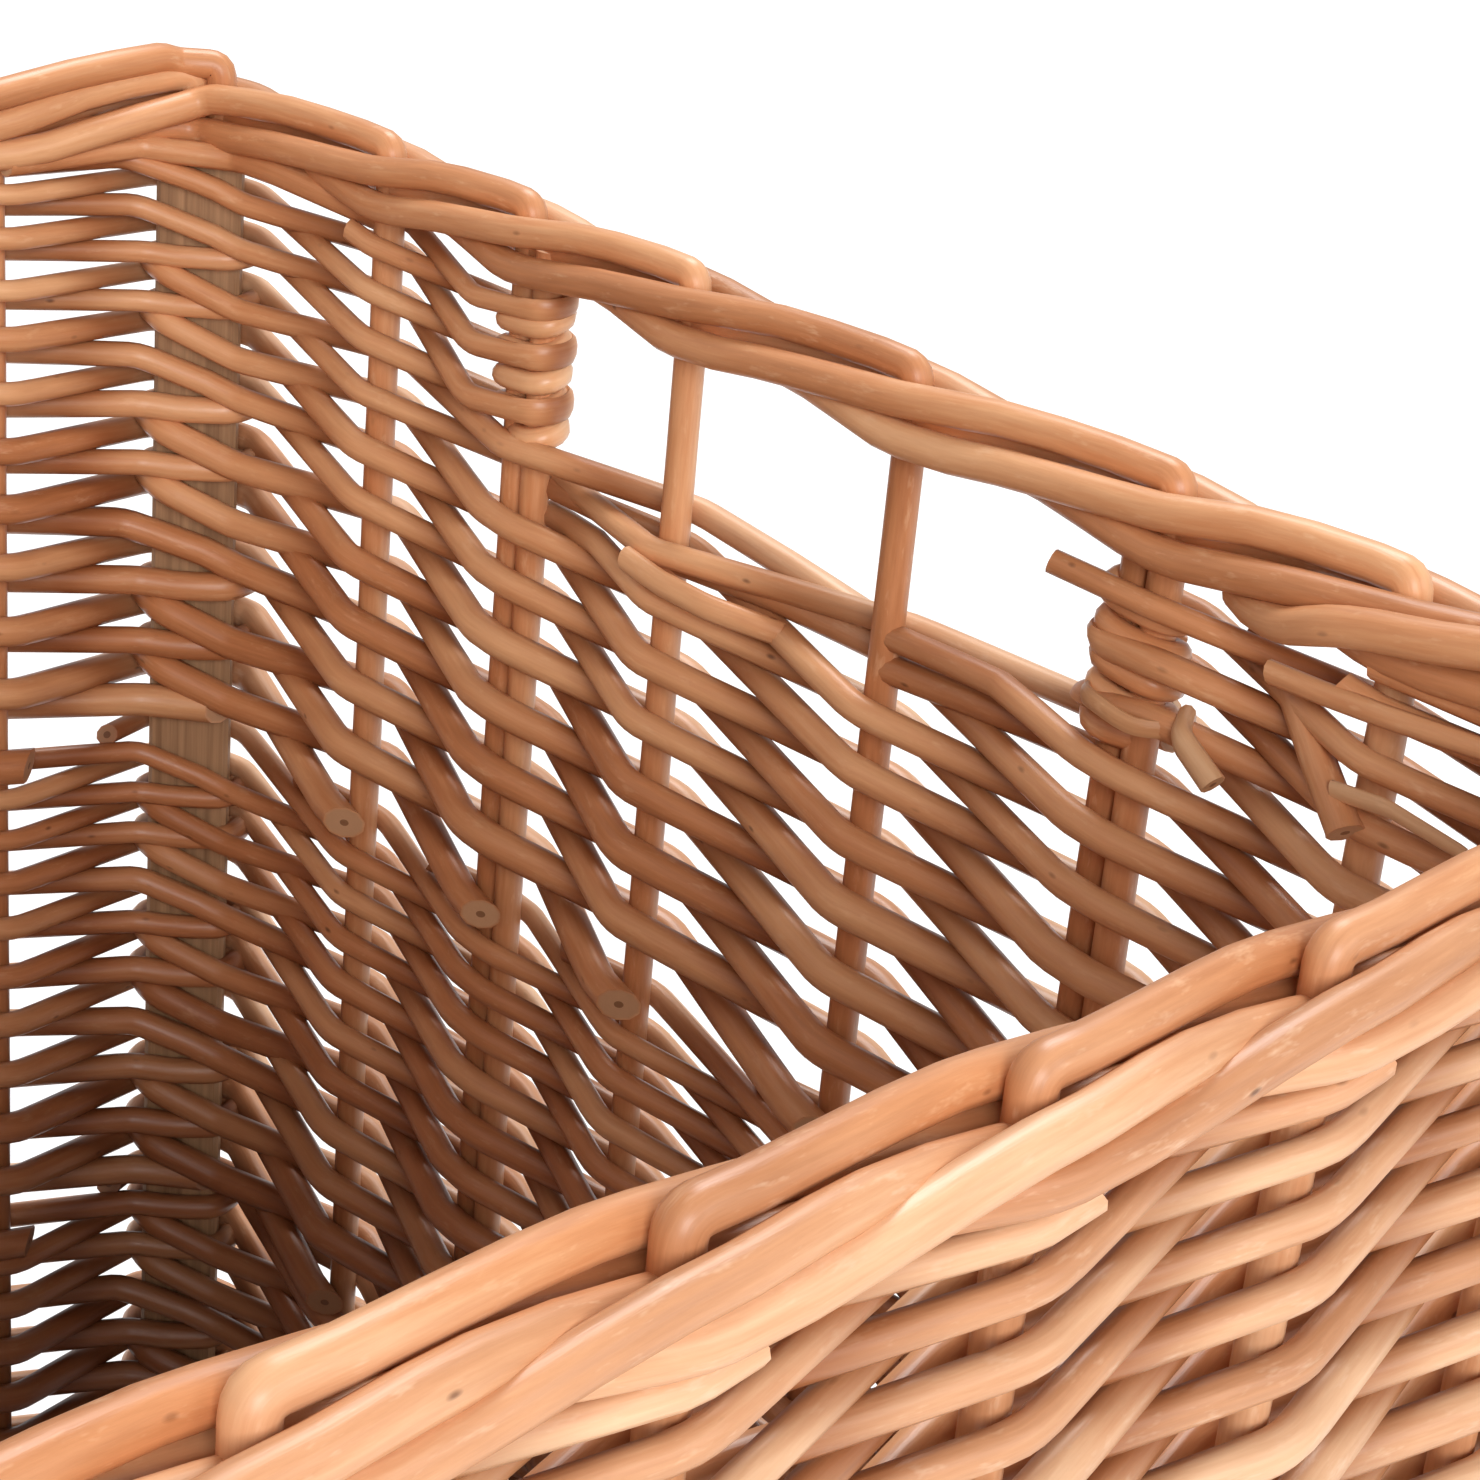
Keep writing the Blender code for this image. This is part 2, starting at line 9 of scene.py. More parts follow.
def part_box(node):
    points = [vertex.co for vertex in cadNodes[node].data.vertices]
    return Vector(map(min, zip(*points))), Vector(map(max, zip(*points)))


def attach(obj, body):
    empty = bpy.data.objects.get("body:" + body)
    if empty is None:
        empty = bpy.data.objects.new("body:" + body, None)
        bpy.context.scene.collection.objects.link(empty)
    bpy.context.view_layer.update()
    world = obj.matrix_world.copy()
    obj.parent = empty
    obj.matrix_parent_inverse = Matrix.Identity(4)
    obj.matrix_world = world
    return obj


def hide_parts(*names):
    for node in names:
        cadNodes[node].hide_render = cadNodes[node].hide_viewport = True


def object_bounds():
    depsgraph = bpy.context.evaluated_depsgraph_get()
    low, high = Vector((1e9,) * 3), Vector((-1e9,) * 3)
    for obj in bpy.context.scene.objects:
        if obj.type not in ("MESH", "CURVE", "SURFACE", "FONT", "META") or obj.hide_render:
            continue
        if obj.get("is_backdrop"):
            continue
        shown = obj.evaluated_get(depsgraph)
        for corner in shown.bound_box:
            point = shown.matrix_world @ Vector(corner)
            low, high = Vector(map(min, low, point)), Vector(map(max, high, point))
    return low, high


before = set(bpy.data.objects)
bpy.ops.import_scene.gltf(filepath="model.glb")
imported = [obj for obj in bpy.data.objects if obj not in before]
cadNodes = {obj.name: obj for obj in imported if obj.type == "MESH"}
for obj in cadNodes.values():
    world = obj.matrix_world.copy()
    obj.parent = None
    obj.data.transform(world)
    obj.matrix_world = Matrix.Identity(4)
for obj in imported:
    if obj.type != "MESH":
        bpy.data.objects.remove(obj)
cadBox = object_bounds()
up = Vector((0, 0, 1))
print("frame:", len(cadNodes), "cad pieces")

# The line through the stakes, in plan: a rectangle with round corners, walked anticlockwise from above.
stakeLine = {
    "cornerRadius": 0.012,
    "stakeRadius": 0.0035,
    "rodPitch": 0.00695,  # between rods that lie against each other
    "play": 0.00025,  # between a weaver and what it goes round
    "footSlice": 0.0005,  # points this close to a node's lowest one are its foot
}


def footOf(node):
    spots = [v.co for v in cadNodes[node].data.vertices]
    low = min(p.z for p in spots)
    feet = [p for p in spots if p.z < low + stakeLine["footSlice"]]
    return Vector([(min(p[i] for p in feet) + max(p[i] for p in feet)) / 2 for i in range(3)])


halfLength = footOf("stake_right_end_1").x
halfWidth = footOf("stake_back_1").y
walls = [
    ("right_end", Vector((halfLength, -halfWidth, 0)), Vector((0, 1, 0)), 2 * halfWidth, 6),
    ("back", Vector((halfLength, halfWidth, 0)), Vector((-1, 0, 0)), 2 * halfLength, 9),
    ("left_end", Vector((-halfLength, halfWidth, 0)), Vector((0, -1, 0)), 2 * halfWidth, 6),
    ("front", Vector((-halfLength, -halfWidth, 0)), Vector((1, 0, 0)), 2 * halfLength, 9),
]
cornerNames = ["back_right", "back_left", "front_left", "front_right"]
holeEdges = (2, 5)  # numbers of the doubled stakes of an end wall
arcLength = math.pi / 2 * stakeLine["cornerRadius"]


def straightPart(wall):
    return walls[wall][3] - 2 * stakeLine["cornerRadius"]


def wallStart(wall):
    return sum(straightPart(i) + arcLength for i in range(wall))


lineLength = wallStart(4)


def place(along, outward=0.0, height=0.0):
    along %= lineLength
    radius = stakeLine["cornerRadius"]
    for wall, (name, corner, heading, length, count) in enumerate(walls):
        side = heading.cross(up)
        straight = straightPart(wall)
        if along <= straight:
            return corner + heading * (radius + along) + side * outward + up * height
        along -= straight
        if along <= arcLength:
            centre = corner + heading * (length - radius) - side * radius
            side = Matrix.Rotation(along / radius, 3, "Z") @ side
            return centre + side * (radius + outward) + up * height
        along -= arcLength
    return place(0.0, outward, height)


def alongOf(wall, point):
    name, corner, heading, length, count = walls[wall]
    return wallStart(wall) + (point - corner).dot(heading) - stakeLine["cornerRadius"]


def cornerFrame(corner):
    # middle of the corner's arc, and the ways out of the basket and along the weaver's travel
    middle = place(corner["along"])
    outward = (place(corner["along"], 1.0) - middle).normalized()
    return middle, outward, up.cross(outward)


def newStation(kind, node, along, standing, wall, number):
    return {"kind": kind, "node": node, "along": along, "standing": standing, "wall": wall, "number": number}


def makeStations():
    found = []
    for wall, (name, corner, heading, length, count) in enumerate(walls):
        for number in range(1, count + 1):
            node = f"stake_{name}_{number}"
            standing = alongOf(wall, footOf(node))
            along = standing
            kind = "stake"
            if count == 6 and number in holeEdges:
                kind = "pair"
                along = (standing + alongOf(wall, footOf(f"by_{node}"))) / 2
            found.append(newStation(kind, node, along, standing, wall, number))
        middle = wallStart(wall) + straightPart(wall) + arcLength / 2
        node = f"corner_stake_{cornerNames[wall]}"
        standing = middle + stakeLine["rodPitch"] / 2
        found.append(newStation("corner", node, middle, standing, wall, 0))
    return found


stations = makeStations()
for station in stations:
    if station["kind"] == "corner":
        lath = cadNodes["corner_lath_" + cornerNames[station["wall"]]]
        middle, outward, ahead = cornerFrame(station)
        reach = [(v.co - middle).dot(outward) for v in lath.data.vertices]
        width = [(v.co - middle).dot(ahead) for v in lath.data.vertices]
        station["lathFace"] = -min(reach)  # how far inwards the lath's face lies
        station["lathHalf"] = max(width)
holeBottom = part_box("winding_right_end_2")[0].z
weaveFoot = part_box("weave_back")[0].z
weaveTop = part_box("weave_back")[1].z
print("stations:", len(stations), "hand hole from", round(holeBottom, 4))


def curveBetween(a, b, leaving, arriving, t):
    return (
        a * (2 * t**3 - 3 * t**2 + 1)
        + leaving * (t**3 - 2 * t**2 + t)
        + b * (3 * t**2 - 2 * t**3)
        + arriving * (t**3 - t**2)
    )


def smoothRoute(points, step):
    # one smooth curve through the points, as points about a step apart
    gaps = [max((b - a).length, 1e-6) for a, b in zip(points, points[1:])]
    slopes = [(points[1] - points[0]) / gaps[0]]
    for i in range(1, len(points) - 1):
        before = (points[i] - points[i - 1]) / gaps[i - 1]
        after = (points[i + 1] - points[i]) / gaps[i]
        slopes.append((before * gaps[i] + after * gaps[i - 1]) / (gaps[i - 1] + gaps[i]))
    slopes.append((points[-1] - points[-2]) / gaps[-1])
    fine = [points[0].copy()]
    for i, gap in enumerate(gaps):
        cuts = max(2, math.ceil(gap / step * 2))
        for cut in range(1, cuts + 1):
            leaving, arriving = slopes[i] * gap, slopes[i + 1] * gap
            fine.append(curveBetween(points[i], points[i + 1], leaving, arriving, cut / cuts))
    return evenRoute(fine, step)


def evenRoute(fine, step):
    lengths = [0.0]
    for a, b in zip(fine, fine[1:]):
        lengths.append(lengths[-1] + (b - a).length)
    count = max(3, round(lengths[-1] / step))
    even = []
    piece = 0
    for ring in range(count + 1):
        wanted = lengths[-1] * ring / count
        while piece < len(fine) - 2 and lengths[piece + 1] < wanted:
            piece += 1
        part = (wanted - lengths[piece]) / max(lengths[piece + 1] - lengths[piece], 1e-9)
        even.append(fine[piece].lerp(fine[piece + 1], min(1.0, part)))
    return even


# What all rods have in common
rodForm = {
    "cutRing": 0.16,  # width of the ring round a cut end, in radii
    "swell": 0.045,  # how uneven a rod's thickness is, and how quickly it changes
    "swellLength": 22,
    "swellWidth": 90,
    "pressedTo": 0.45,  # a rod's end round the doubled stakes is pressed flat to this share
    "pressedIn": 0.009,
    "pressedWider": 0.12,
    "sharpAngle": 50,
}


# A pile gathers rods into one mesh. Each point keeps its place on the rod from when that was still straight.
def newPile():
    return {"bm": bmesh.new(), "space": [], "tone": [], "cut": [], "rods": 0}


def straightRod(length, buttRadius, tipRadius, sides, rings):
    rod = bmesh.new()
    bmesh.ops.create_cone(
        rod, cap_ends=True, segments=sides, radius1=buttRadius, radius2=tipRadius, depth=length,
        matrix=Matrix.Translation((0, 0, length / 2)),
    )
    longEdges = [e for e in rod.edges if abs(e.verts[0].co.z - e.verts[1].co.z) > length / 2]
    bmesh.ops.subdivide_edges(rod, edges=longEdges, cuts=rings - 2)
    cutVerts = set()
    for cap in [f for f in rod.faces if len(f.verts) == sides]:
        bmesh.ops.inset_region(rod, faces=[cap], thickness=buttRadius * rodForm["cutRing"])
        cutVerts.update(cap.verts)
        cap.smooth = False
    rod.verts.ensure_lookup_table()
    return rod, cutVerts


def addRod(pile, route, buttRadius, tipRadius, rng, sides, facing=None, lean=(0.0, 0.0), flat=1.0,
           narrowing=(0.0, 1.0), pressed=(0.0, 0.0)):
    # lean slants the two cut ends, narrowing thins the tip, pressed gives the lengths of flattened ends
    rings = len(route)
    passed = [0.0]
    for a, b in zip(route, route[1:]):
        passed.append(passed[-1] + (b - a).length)
    length = passed[-1]
    rod, cutVerts = straightRod(length, buttRadius, tipRadius, sides, rings)
    tangents = []
    for i in range(rings):
        tangents.append((route[min(i + 1, rings - 1)] - route[max(i - 1, 0)]).normalized())
    normal = facing.copy() if facing else tangents[0].orthogonal()
    normals = []
    for tangent in tangents:
        normal = (normal - tangent * normal.dot(tangent)).normalized()
        normals.append(normal)
    shift = rng.uniform(0, 40)
    tone = rng.random()
    wobble = rng.uniform(0, 100)
    for vert in rod.verts:
        x, y, z = vert.co
        ring = min(rings - 1, max(0, round(z / length * (rings - 1))))
        if 0 < ring < rings - 1:
            z = passed[ring]
        pile["space"].append((x, y, z + shift))
        pile["tone"].append(tone)
        pile["cut"].append(1.0 if vert in cutVerts else 0.0)
        uneven = noise.noise(Vector((wobble, z * rodForm["swellLength"], x * rodForm["swellWidth"])))
        swell = 1 + rodForm["swell"] * uneven
        left = length - passed[ring]
        if left < narrowing[0]:
            swell *= narrowing[1] + (1 - narrowing[1]) * left / narrowing[0]
        press = max(pressed[0] - passed[ring], pressed[1] - left, 0.0)
        press = min(1.0, press / rodForm["pressedIn"])
        thin = 1 - (1 - rodForm["pressedTo"]) * press
        wide = flat * (1 + rodForm["pressedWider"] * press)
        along = -lean[0] * x if ring == 0 else lean[1] * x if ring == rings - 1 else 0.0
        side = tangents[ring].cross(normals[ring])
        vert.co = route[ring] + normals[ring] * (x * swell * thin) + tangents[ring] * along
        vert.co += side * (y * swell * wide)
    bent = bpy.data.meshes.new("rod")
    rod.to_mesh(bent)
    rod.free()
    pile["bm"].from_mesh(bent)
    bpy.data.meshes.remove(bent)
    pile["rods"] += 1


def pileToPiece(name, pile, material, nodes):
    mesh = bpy.data.meshes.new(name)
    pile["bm"].to_mesh(mesh)
    pile["bm"].free()
    mesh.attributes.new("rodSpace", "FLOAT_VECTOR", "POINT").data.foreach_set(
        "vector", [c for spot in pile["space"] for c in spot]
    )
    mesh.attributes.new("rodTone", "FLOAT", "POINT").data.foreach_set("value", pile["tone"])
    mesh.attributes.new("rodCut", "FLOAT", "POINT").data.foreach_set("value", pile["cut"])
    mesh.shade_smooth()
    mesh.set_sharp_from_angle(angle=math.radians(rodForm["sharpAngle"]))
    mesh.materials.append(material)
    piece = bpy.data.objects.new(name, mesh)
    bpy.context.scene.collection.objects.link(piece)
    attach(piece, "root")
    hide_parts(*nodes)
    return piece


def addNode(tree, kind, **settings):
    node = tree.nodes.new(kind)
    for key, value in settings.items():
        setattr(node, key, value)
    return node


def linkTo(tree, source, target):
    tree.links.new(source, target)


def newMaterial(name):
    material = bpy.data.materials.new(name)
    material.use_nodes = True
    return material, material.node_tree, material.node_tree.nodes["Principled BSDF"]


def mathNode(tree, operation, first, second=None, clamp=False):
    node = addNode(tree, "ShaderNodeMath", operation=operation, use_clamp=clamp)
    for socket, value in zip(node.inputs, (first, second)):
        if value is None:
            continue
        if isinstance(value, (int, float)):
            socket.default_value = value
        else:
            linkTo(tree, value, socket)
    return node.outputs[0]


def mixNode(tree, share, first, second, blend="MIX"):
    node = addNode(tree, "ShaderNodeMix", data_type="RGBA", blend_type=blend)
    for key, value in (("Factor", share), ("A", first), ("B", second)):
        socket = node.inputs[key]
        if isinstance(value, (int, float)):
            socket.default_value = value
        elif isinstance(value, tuple):
            socket.default_value = (*value, 1.0)
        else:
            linkTo(tree, value, socket)
    return node.outputs["Result"]


def rampNode(tree, value, stops):
    node = addNode(tree, "ShaderNodeValToRGB")
    linkTo(tree, value, node.inputs[0])
    ramp = node.color_ramp
    while len(ramp.elements) < len(stops):
        ramp.elements.new(0.5)
    for element, (at, colour) in zip(ramp.elements, stops):
        element.position = at
        element.color = (*colour, 1.0)
    return node.outputs[0]


def rangeNode(tree, value, start, end, kind="LINEAR"):
    node = addNode(tree, "ShaderNodeMapRange", interpolation_type=kind)
    node.inputs["From Min"].default_value = start
    node.inputs["From Max"].default_value = end
    linkTo(tree, value, node.inputs["Value"])
    return node.outputs[0]


def stretchNode(tree, vector, scale):
    node = addNode(tree, "ShaderNodeMapping")
    node.inputs["Scale"].default_value = scale
    linkTo(tree, vector, node.inputs["Vector"])
    return node.outputs[0]


def noiseNode(tree, vector, scale, detail, roughness):
    node = addNode(tree, "ShaderNodeTexNoise")
    node.inputs["Scale"].default_value = 1.0
    node.inputs["Detail"].default_value = detail
    node.inputs["Roughness"].default_value = roughness
    linkTo(tree, stretchNode(tree, vector, scale), node.inputs["Vector"])
    return node.outputs["Fac"]


def addBump(tree, shader, height, strength, distance):
    bump = addNode(tree, "ShaderNodeBump")
    bump.inputs["Strength"].default_value = strength
    bump.inputs["Distance"].default_value = distance
    linkTo(tree, height, bump.inputs["Height"])
    linkTo(tree, bump.outputs[0], shader.inputs["Normal"])


def paintedInsideShade(tree, looks):
    # painted shade: darker and browner inside the basket, more so towards its foot, and a weaver also darker
    # where it dives between the stakes, standing in for the shade that falls there
    spot = addNode(tree, "ShaderNodeSeparateXYZ")
    linkTo(tree, addNode(tree, "ShaderNodeTexCoord").outputs["Object"], spot.inputs[0])
    depths = []
    for axis, half in ((0, halfLength), (1, halfWidth)):
        depths.append(mathNode(tree, "SUBTRACT", half, mathNode(tree, "ABSOLUTE", spot.outputs[axis])))
    depth = mathNode(tree, "MINIMUM", *depths)
    inside = rangeNode(tree, depth, *looks["insideFrom"], "SMOOTHSTEP")
    clearOfDiveShade = rangeNode(tree, mathNode(tree, "ABSOLUTE", depth), *looks["diveShadeReach"], "SMOOTHSTEP")
    paintedShade = rampNode(tree, mathNode(tree, "DIVIDE", spot.outputs[2], cadBox[1][2]), looks["paintedInsideShade"])
    paintedShade = mixNode(tree, inside, looks["outside"], paintedShade)
    return mixNode(tree, 1.0, paintedShade, mixNode(tree, clearOfDiveShade, looks["diveShade"], (1.0, 1.0, 1.0)), "MULTIPLY")


# Buff willow. A pattern has its cells per metre across and along the rod, a noise also detail and roughness.
willowLooks = {
    "dark": (0.33, 0.120, 0.043),
    "middle": (0.63, 0.304, 0.150),
    "light": (0.86, 0.550, 0.330),
    "shades": (0.12, 0.50, 0.86),  # where the three lie on the scale of shades
    "toneShare": 0.30,  # what a rod's own tone, its patches and its streaks add to its shade
    "patchShare": 0.66,
    "streakShare": 0.36,
    "shadeShift": -0.15,
    "streaks": ((800.0, 800.0, 60.0), 4.0, 0.6),
    "patches": ((80.0, 80.0, 14.0), 2.0, 0.5),
    "scuff": (0.90, 0.660, 0.470),
    "scuffs": ((420.0, 420.0, 120.0), 3.0, 0.7),
    "scuffFrom": 0.585,
    "scuffEdge": 5.0,
    "scuffShare": 0.42,
    "knot": (0.13, 0.045, 0.016),
    "knots": (220.0, 220.0, 95.0),
    "knotReach": (0.14, 0.05),  # from a cell's middle, in cells
    "knotFrom": 0.52,  # only the cells above this have a knot
    "knotEdge": 3.4,
    "knotShare": 0.8,
    "cut": (0.62, 0.41, 0.265),
    "cutRough": 0.3,
    "pith": (0.30, 0.16, 0.085),
    "pithRadius": 0.0009,
    # painted shade inside the basket by height, darkest at its foot, for the shade that falls there
    "paintedInsideShade": ((0.10, (0.36, 0.24, 0.165)), (0.28, (0.47, 0.335, 0.24)), (0.43, (0.74, 0.56, 0.43)),
                   (0.60, (0.86, 0.69, 0.54)), (0.78, (0.95, 0.78, 0.63)), (0.90, (1.0, 0.88, 0.75))),
    "insideFrom": (-0.004, 0.003),
    # painted light: colour outside the basket, against the painted inside shade; white here, a paler, less
    # orange touch for the weavers
    "outside": (1.0, 1.0, 1.0),
    # painted shade: a weaver is multiplied by this colour where it dives between the stakes, fading out over
    # the reach below; white, so none, for other rods
    "diveShade": (1.0, 1.0, 1.0),
    "diveShadeReach": (0.0008, 0.0066),
    "roughness": 0.40,
    "roughStreaks": 0.22,
    "bump": (0.22, 0.0005),  # strength and height
}
# weavers: painted shade where they dive between the stakes, and a painted paler outside for the stronger
# light there
weaverLooks = {**willowLooks, "outside": (0.96, 0.98, 1.0), "diveShade": (0.55, 0.43, 0.35), "shadeShift": -0.08}
paleLooks = {**willowLooks, "roughness": 0.34, "shadeShift": -0.01}
peeledLooks = {
    **willowLooks,
    "middle": (0.61, 0.35, 0.190),
    "light": (0.84, 0.61, 0.41),
    "cut": (0.62, 0.42, 0.25),
    "shadeShift": -0.03,
}


def shadeNode(tree, looks, streaks, patches):
    shade = addNode(tree, "ShaderNodeAttribute", attribute_name="rodTone").outputs["Fac"]
    shade = mathNode(tree, "MULTIPLY", shade, looks["toneShare"])
    for part, share in ((patches, looks["patchShare"]), (streaks, looks["streakShare"])):
        shade = mathNode(tree, "ADD", shade, mathNode(tree, "MULTIPLY", part, share))
    shade = mathNode(tree, "ADD", shade, looks["shadeShift"], clamp=True)
    return rampNode(tree, shade, list(zip(looks["shades"], (looks["dark"], looks["middle"], looks["light"]))))


def knotNode(tree, looks, space):
    cells = addNode(tree, "ShaderNodeTexVoronoi")
    cells.inputs["Scale"].default_value = 1.0
    linkTo(tree, stretchNode(tree, space, looks["knots"]), cells.inputs["Vector"])
    reached = rangeNode(tree, cells.outputs["Distance"], *looks["knotReach"])
    chosen = mathNode(tree, "SUBTRACT", cells.outputs["Color"], looks["knotFrom"], clamp=True)
    chosen = mathNode(tree, "MULTIPLY", chosen, looks["knotEdge"], clamp=True)
    return mathNode(tree, "MULTIPLY", reached, chosen)


def scuffNode(tree, looks, space):
    scuffs = noiseNode(tree, space, *looks["scuffs"])
    scuffs = mathNode(tree, "SUBTRACT", scuffs, looks["scuffFrom"], clamp=True)
    scuffs = mathNode(tree, "MULTIPLY", scuffs, looks["scuffEdge"], clamp=True)
    return mathNode(tree, "MULTIPLY", scuffs, looks["scuffShare"])


def cutNode(tree, looks, space):
    # a cut end, with the pith in its middle
    axes = addNode(tree, "ShaderNodeSeparateXYZ")
    linkTo(tree, space, axes.inputs[0])
    squares = [mathNode(tree, "MULTIPLY", axes.outputs[n], axes.outputs[n]) for n in (0, 1)]
    fromAxis = mathNode(tree, "SQRT", mathNode(tree, "ADD", *squares))
    inPith = mathNode(tree, "LESS_THAN", fromAxis, looks["pithRadius"])
    return mixNode(tree, inPith, looks["cut"], looks["pith"])


def makeWillow(name, looks):
    material, tree, shader = newMaterial(name)
    space = addNode(tree, "ShaderNodeAttribute", attribute_name="rodSpace").outputs["Vector"]
    cut = addNode(tree, "ShaderNodeAttribute", attribute_name="rodCut").outputs["Fac"]
    streaks = noiseNode(tree, space, *looks["streaks"])
    patches = noiseNode(tree, space, *looks["patches"])
    knots = mathNode(tree, "MULTIPLY", knotNode(tree, looks, space), looks["knotShare"])
    colour = shadeNode(tree, looks, streaks, patches)
    colour = mixNode(tree, scuffNode(tree, looks, space), colour, looks["scuff"])
    colour = mixNode(tree, knots, colour, looks["knot"])
    colour = mixNode(tree, cut, colour, cutNode(tree, looks, space))
    # painted shade inside the basket and between the stakes, multiplied into the colour
    colour = mixNode(tree, 1.0, colour, paintedInsideShade(tree, looks), "MULTIPLY")
    linkTo(tree, colour, shader.inputs["Base Color"])
    rough = mathNode(tree, "MULTIPLY", streaks, looks["roughStreaks"])
    rough = mathNode(tree, "ADD", rough, looks["roughness"] - looks["roughStreaks"] / 2)
    rough = mathNode(tree, "ADD", rough, mathNode(tree, "MULTIPLY", cut, looks["cutRough"]), clamp=True)
    linkTo(tree, rough, shader.inputs["Roughness"])
    addBump(tree, shader, mathNode(tree, "ADD", streaks, knots), *looks["bump"])
    return material


willow = makeWillow("buffWillow", willowLooks)
weaverWillow = makeWillow("weaverWillow", weaverLooks)
paleWillow = makeWillow("paleWillow", paleLooks)
peeledWillow = makeWillow("peeledWillow", peeledLooks)
print("materials: willow")

# Weavers. Every bay has one butt of each band, and each rod climbs one level from stake to stake.
weaving = {
    "names": ("weavers_lower", "weavers_middle", "weavers_upper"),
    # each band's foot and top in shares of the weave's height, and its levels
    "bands": ((0.0, 0.219, 11), (0.2285, 0.603, 20), (0.6124, 0.999, 20)),
    "buttRadius": 0.00436,
    "tipRadius": 0.00262,
    "taperLevels": 19,
    "thickness": (0.93, 1.05),
    "ease": 0.0050,  # how much a bend is drawn out
    "sag": 0.0002,  # what easing a bend takes off its reach
    "rings": (0.105, 0.013),  # a rod gets a ring when it has turned this far, in radians, or run this far
    "grain": 0.0012,
    "pressedLength": 0.034,  # how much of a rod's end round the doubled stakes is pressed flat
    "jitter": 0.0005,
    "crossing": 0.0022,  # a rod runs straight past a stake for this much either way
    "climb": 0.0004,
    "overshoot": (0.0005, 0.0075),
    "buttDrop": 0.0105,  # a butt lies this far under the rod's first crossing
    "butt": ((-0.0045, -0.0012, -0.0008), (0.004, 0.0, 0.0)),  # along, out and up
    "buttLean": (0.75, 0.3, 0.5),  # of a butt, of a rod that starts at a hole, and of a tip
    "cornerButtDrop": 0.0028,
    "cornerButt": (-0.9, 1.1),  # in lath halves
    "lastThin": 0.9,  # the top band's rods have one thinner crossing more
    "lastRise": 0.0028,
    "topTail": (0.003, 0.007),
    "tail": 0.026,
    "tailSpread": (0.8, 1.15),
    "tailRise": 0.002,
    "sides": 10,
    "seed": 11,
}

# How a rod passes a corner. A place is along in lath halves, in radii and in metres, then inwards from the
# lath's face in radii and in metres, then up.
cornerWay = {
    "direct": ((-1.0, -0.5, 0.0, 1.0, 0.0014, -0.0056), (-0.4, 0.0, 0.0, 1.0, 0.0006, -0.0022),
               (1.0, 0.0, 0.0, 0.95, 0.0, 0.0030)),
    "toBack": ((-1.0, -0.4, 0.0, 1.0, 0.0022, -0.0060), (-0.4, 0.0, 0.0, 1.0, 0.0014, -0.0030),
               (1.0, 0.0, -0.0034, 0.95, 0.0, 0.0012), (1.0, 0.6, 0.0, -1.0, 0.0, 0.0024)),
    "fromBack": ((-1.0, -0.9, 0.0, -1.0, 0.0, 0.0008), (-1.0, 0.0, 0.0, 0.5, 0.0, 0.0004),
                 (0.2, 0.0, 0.0, 0.9, 0.0, 0.0), (1.0, 0.5, 0.0, 0.9, 0.0, 0.0006)),
    "backFall": (0.55, 0.1, -0.35),  # in radii
    "pressed": 0.92,  # a rod that lies on itself takes this share of its thickness
    "outsideClimb": (-0.001, 0.0, 0.001),
    "cycle": 6,  # of the inside levels, those with this remainder pass a corner directly
    "remainder": 5,
    "lastWrap": 16,
}

# The hand hole's lower edge, which two rods follow, and where the rods beside it end
holeEdge = {
    "bays": (2, 3, 4, 5),
    "roomUnder": {2: (0.0, 0.0), 3: (-0.0080, -0.0080), 4: (-0.0115, -0.0060), 5: (-0.0044, -0.0125)},
    "routes": {  # by level: at a share of the bays, which side and how high
        13: {3.16: (0.9, -0.0044), 3.55: (0.9, -0.0016), 4: (1, 0.0004), 5: (-1, 0.0012)},
        12: {1.9: (1, 0.0016), 3: (1, -0.0020), 4: (-1, -0.0058), 5: (1, -0.0072)},
    },
    "windingRoom": 0.0019,
    "wrapRise": -0.0014,
    # round the pair: along in metres and in edges, across in offsets and in metres, and how many rises
    "round": ((0.004, 0.0, 1, 0.0, -1.6), (0.0, -0.7, 1, -0.0004, -1.4), (0.0, -1.0, 0, 0.0, -1.2),
              (0.0, -0.7, -1, 0.0004, -1.0), (0.0, 0.7, -1, 0.0, 0.2), (0.004, 1.0, -1, -0.0006, 0.6)),
    "outsideStart": (0.001, 0.008),
    "outsideEnd": (-0.008, 0.002),
    "stub": (-0.008, 0.0180),  # the top rod runs on past the pair
    "tuck": ((0.5, 1.2), (1.0, 1.9)),  # a rod under the hole: share of the bay, and how low in radii
    "tuckOut": 0.002,
    "behindPair": 0.0042,
}


def levelHeights(foot, top, levels, radiusAt):
    radii = [radiusAt(level) for level in range(levels)]
    heights = []
    passed = 0.0
    for radius in radii:
        heights.append(foot + (top - foot) * (passed + radius / 2) / sum(radii))
        passed += radius
    return heights


def averaged(values, half):
    sums = [0.0]
    for value in values:
        sums.append(sums[-1] + value)
    last = len(values) - 1
    result = []
    for n in range(len(values)):
        reach = min(half, n, last - n)
        result.append((sums[n + reach + 1] - sums[n - reach]) / (2 * reach + 1))
    return result


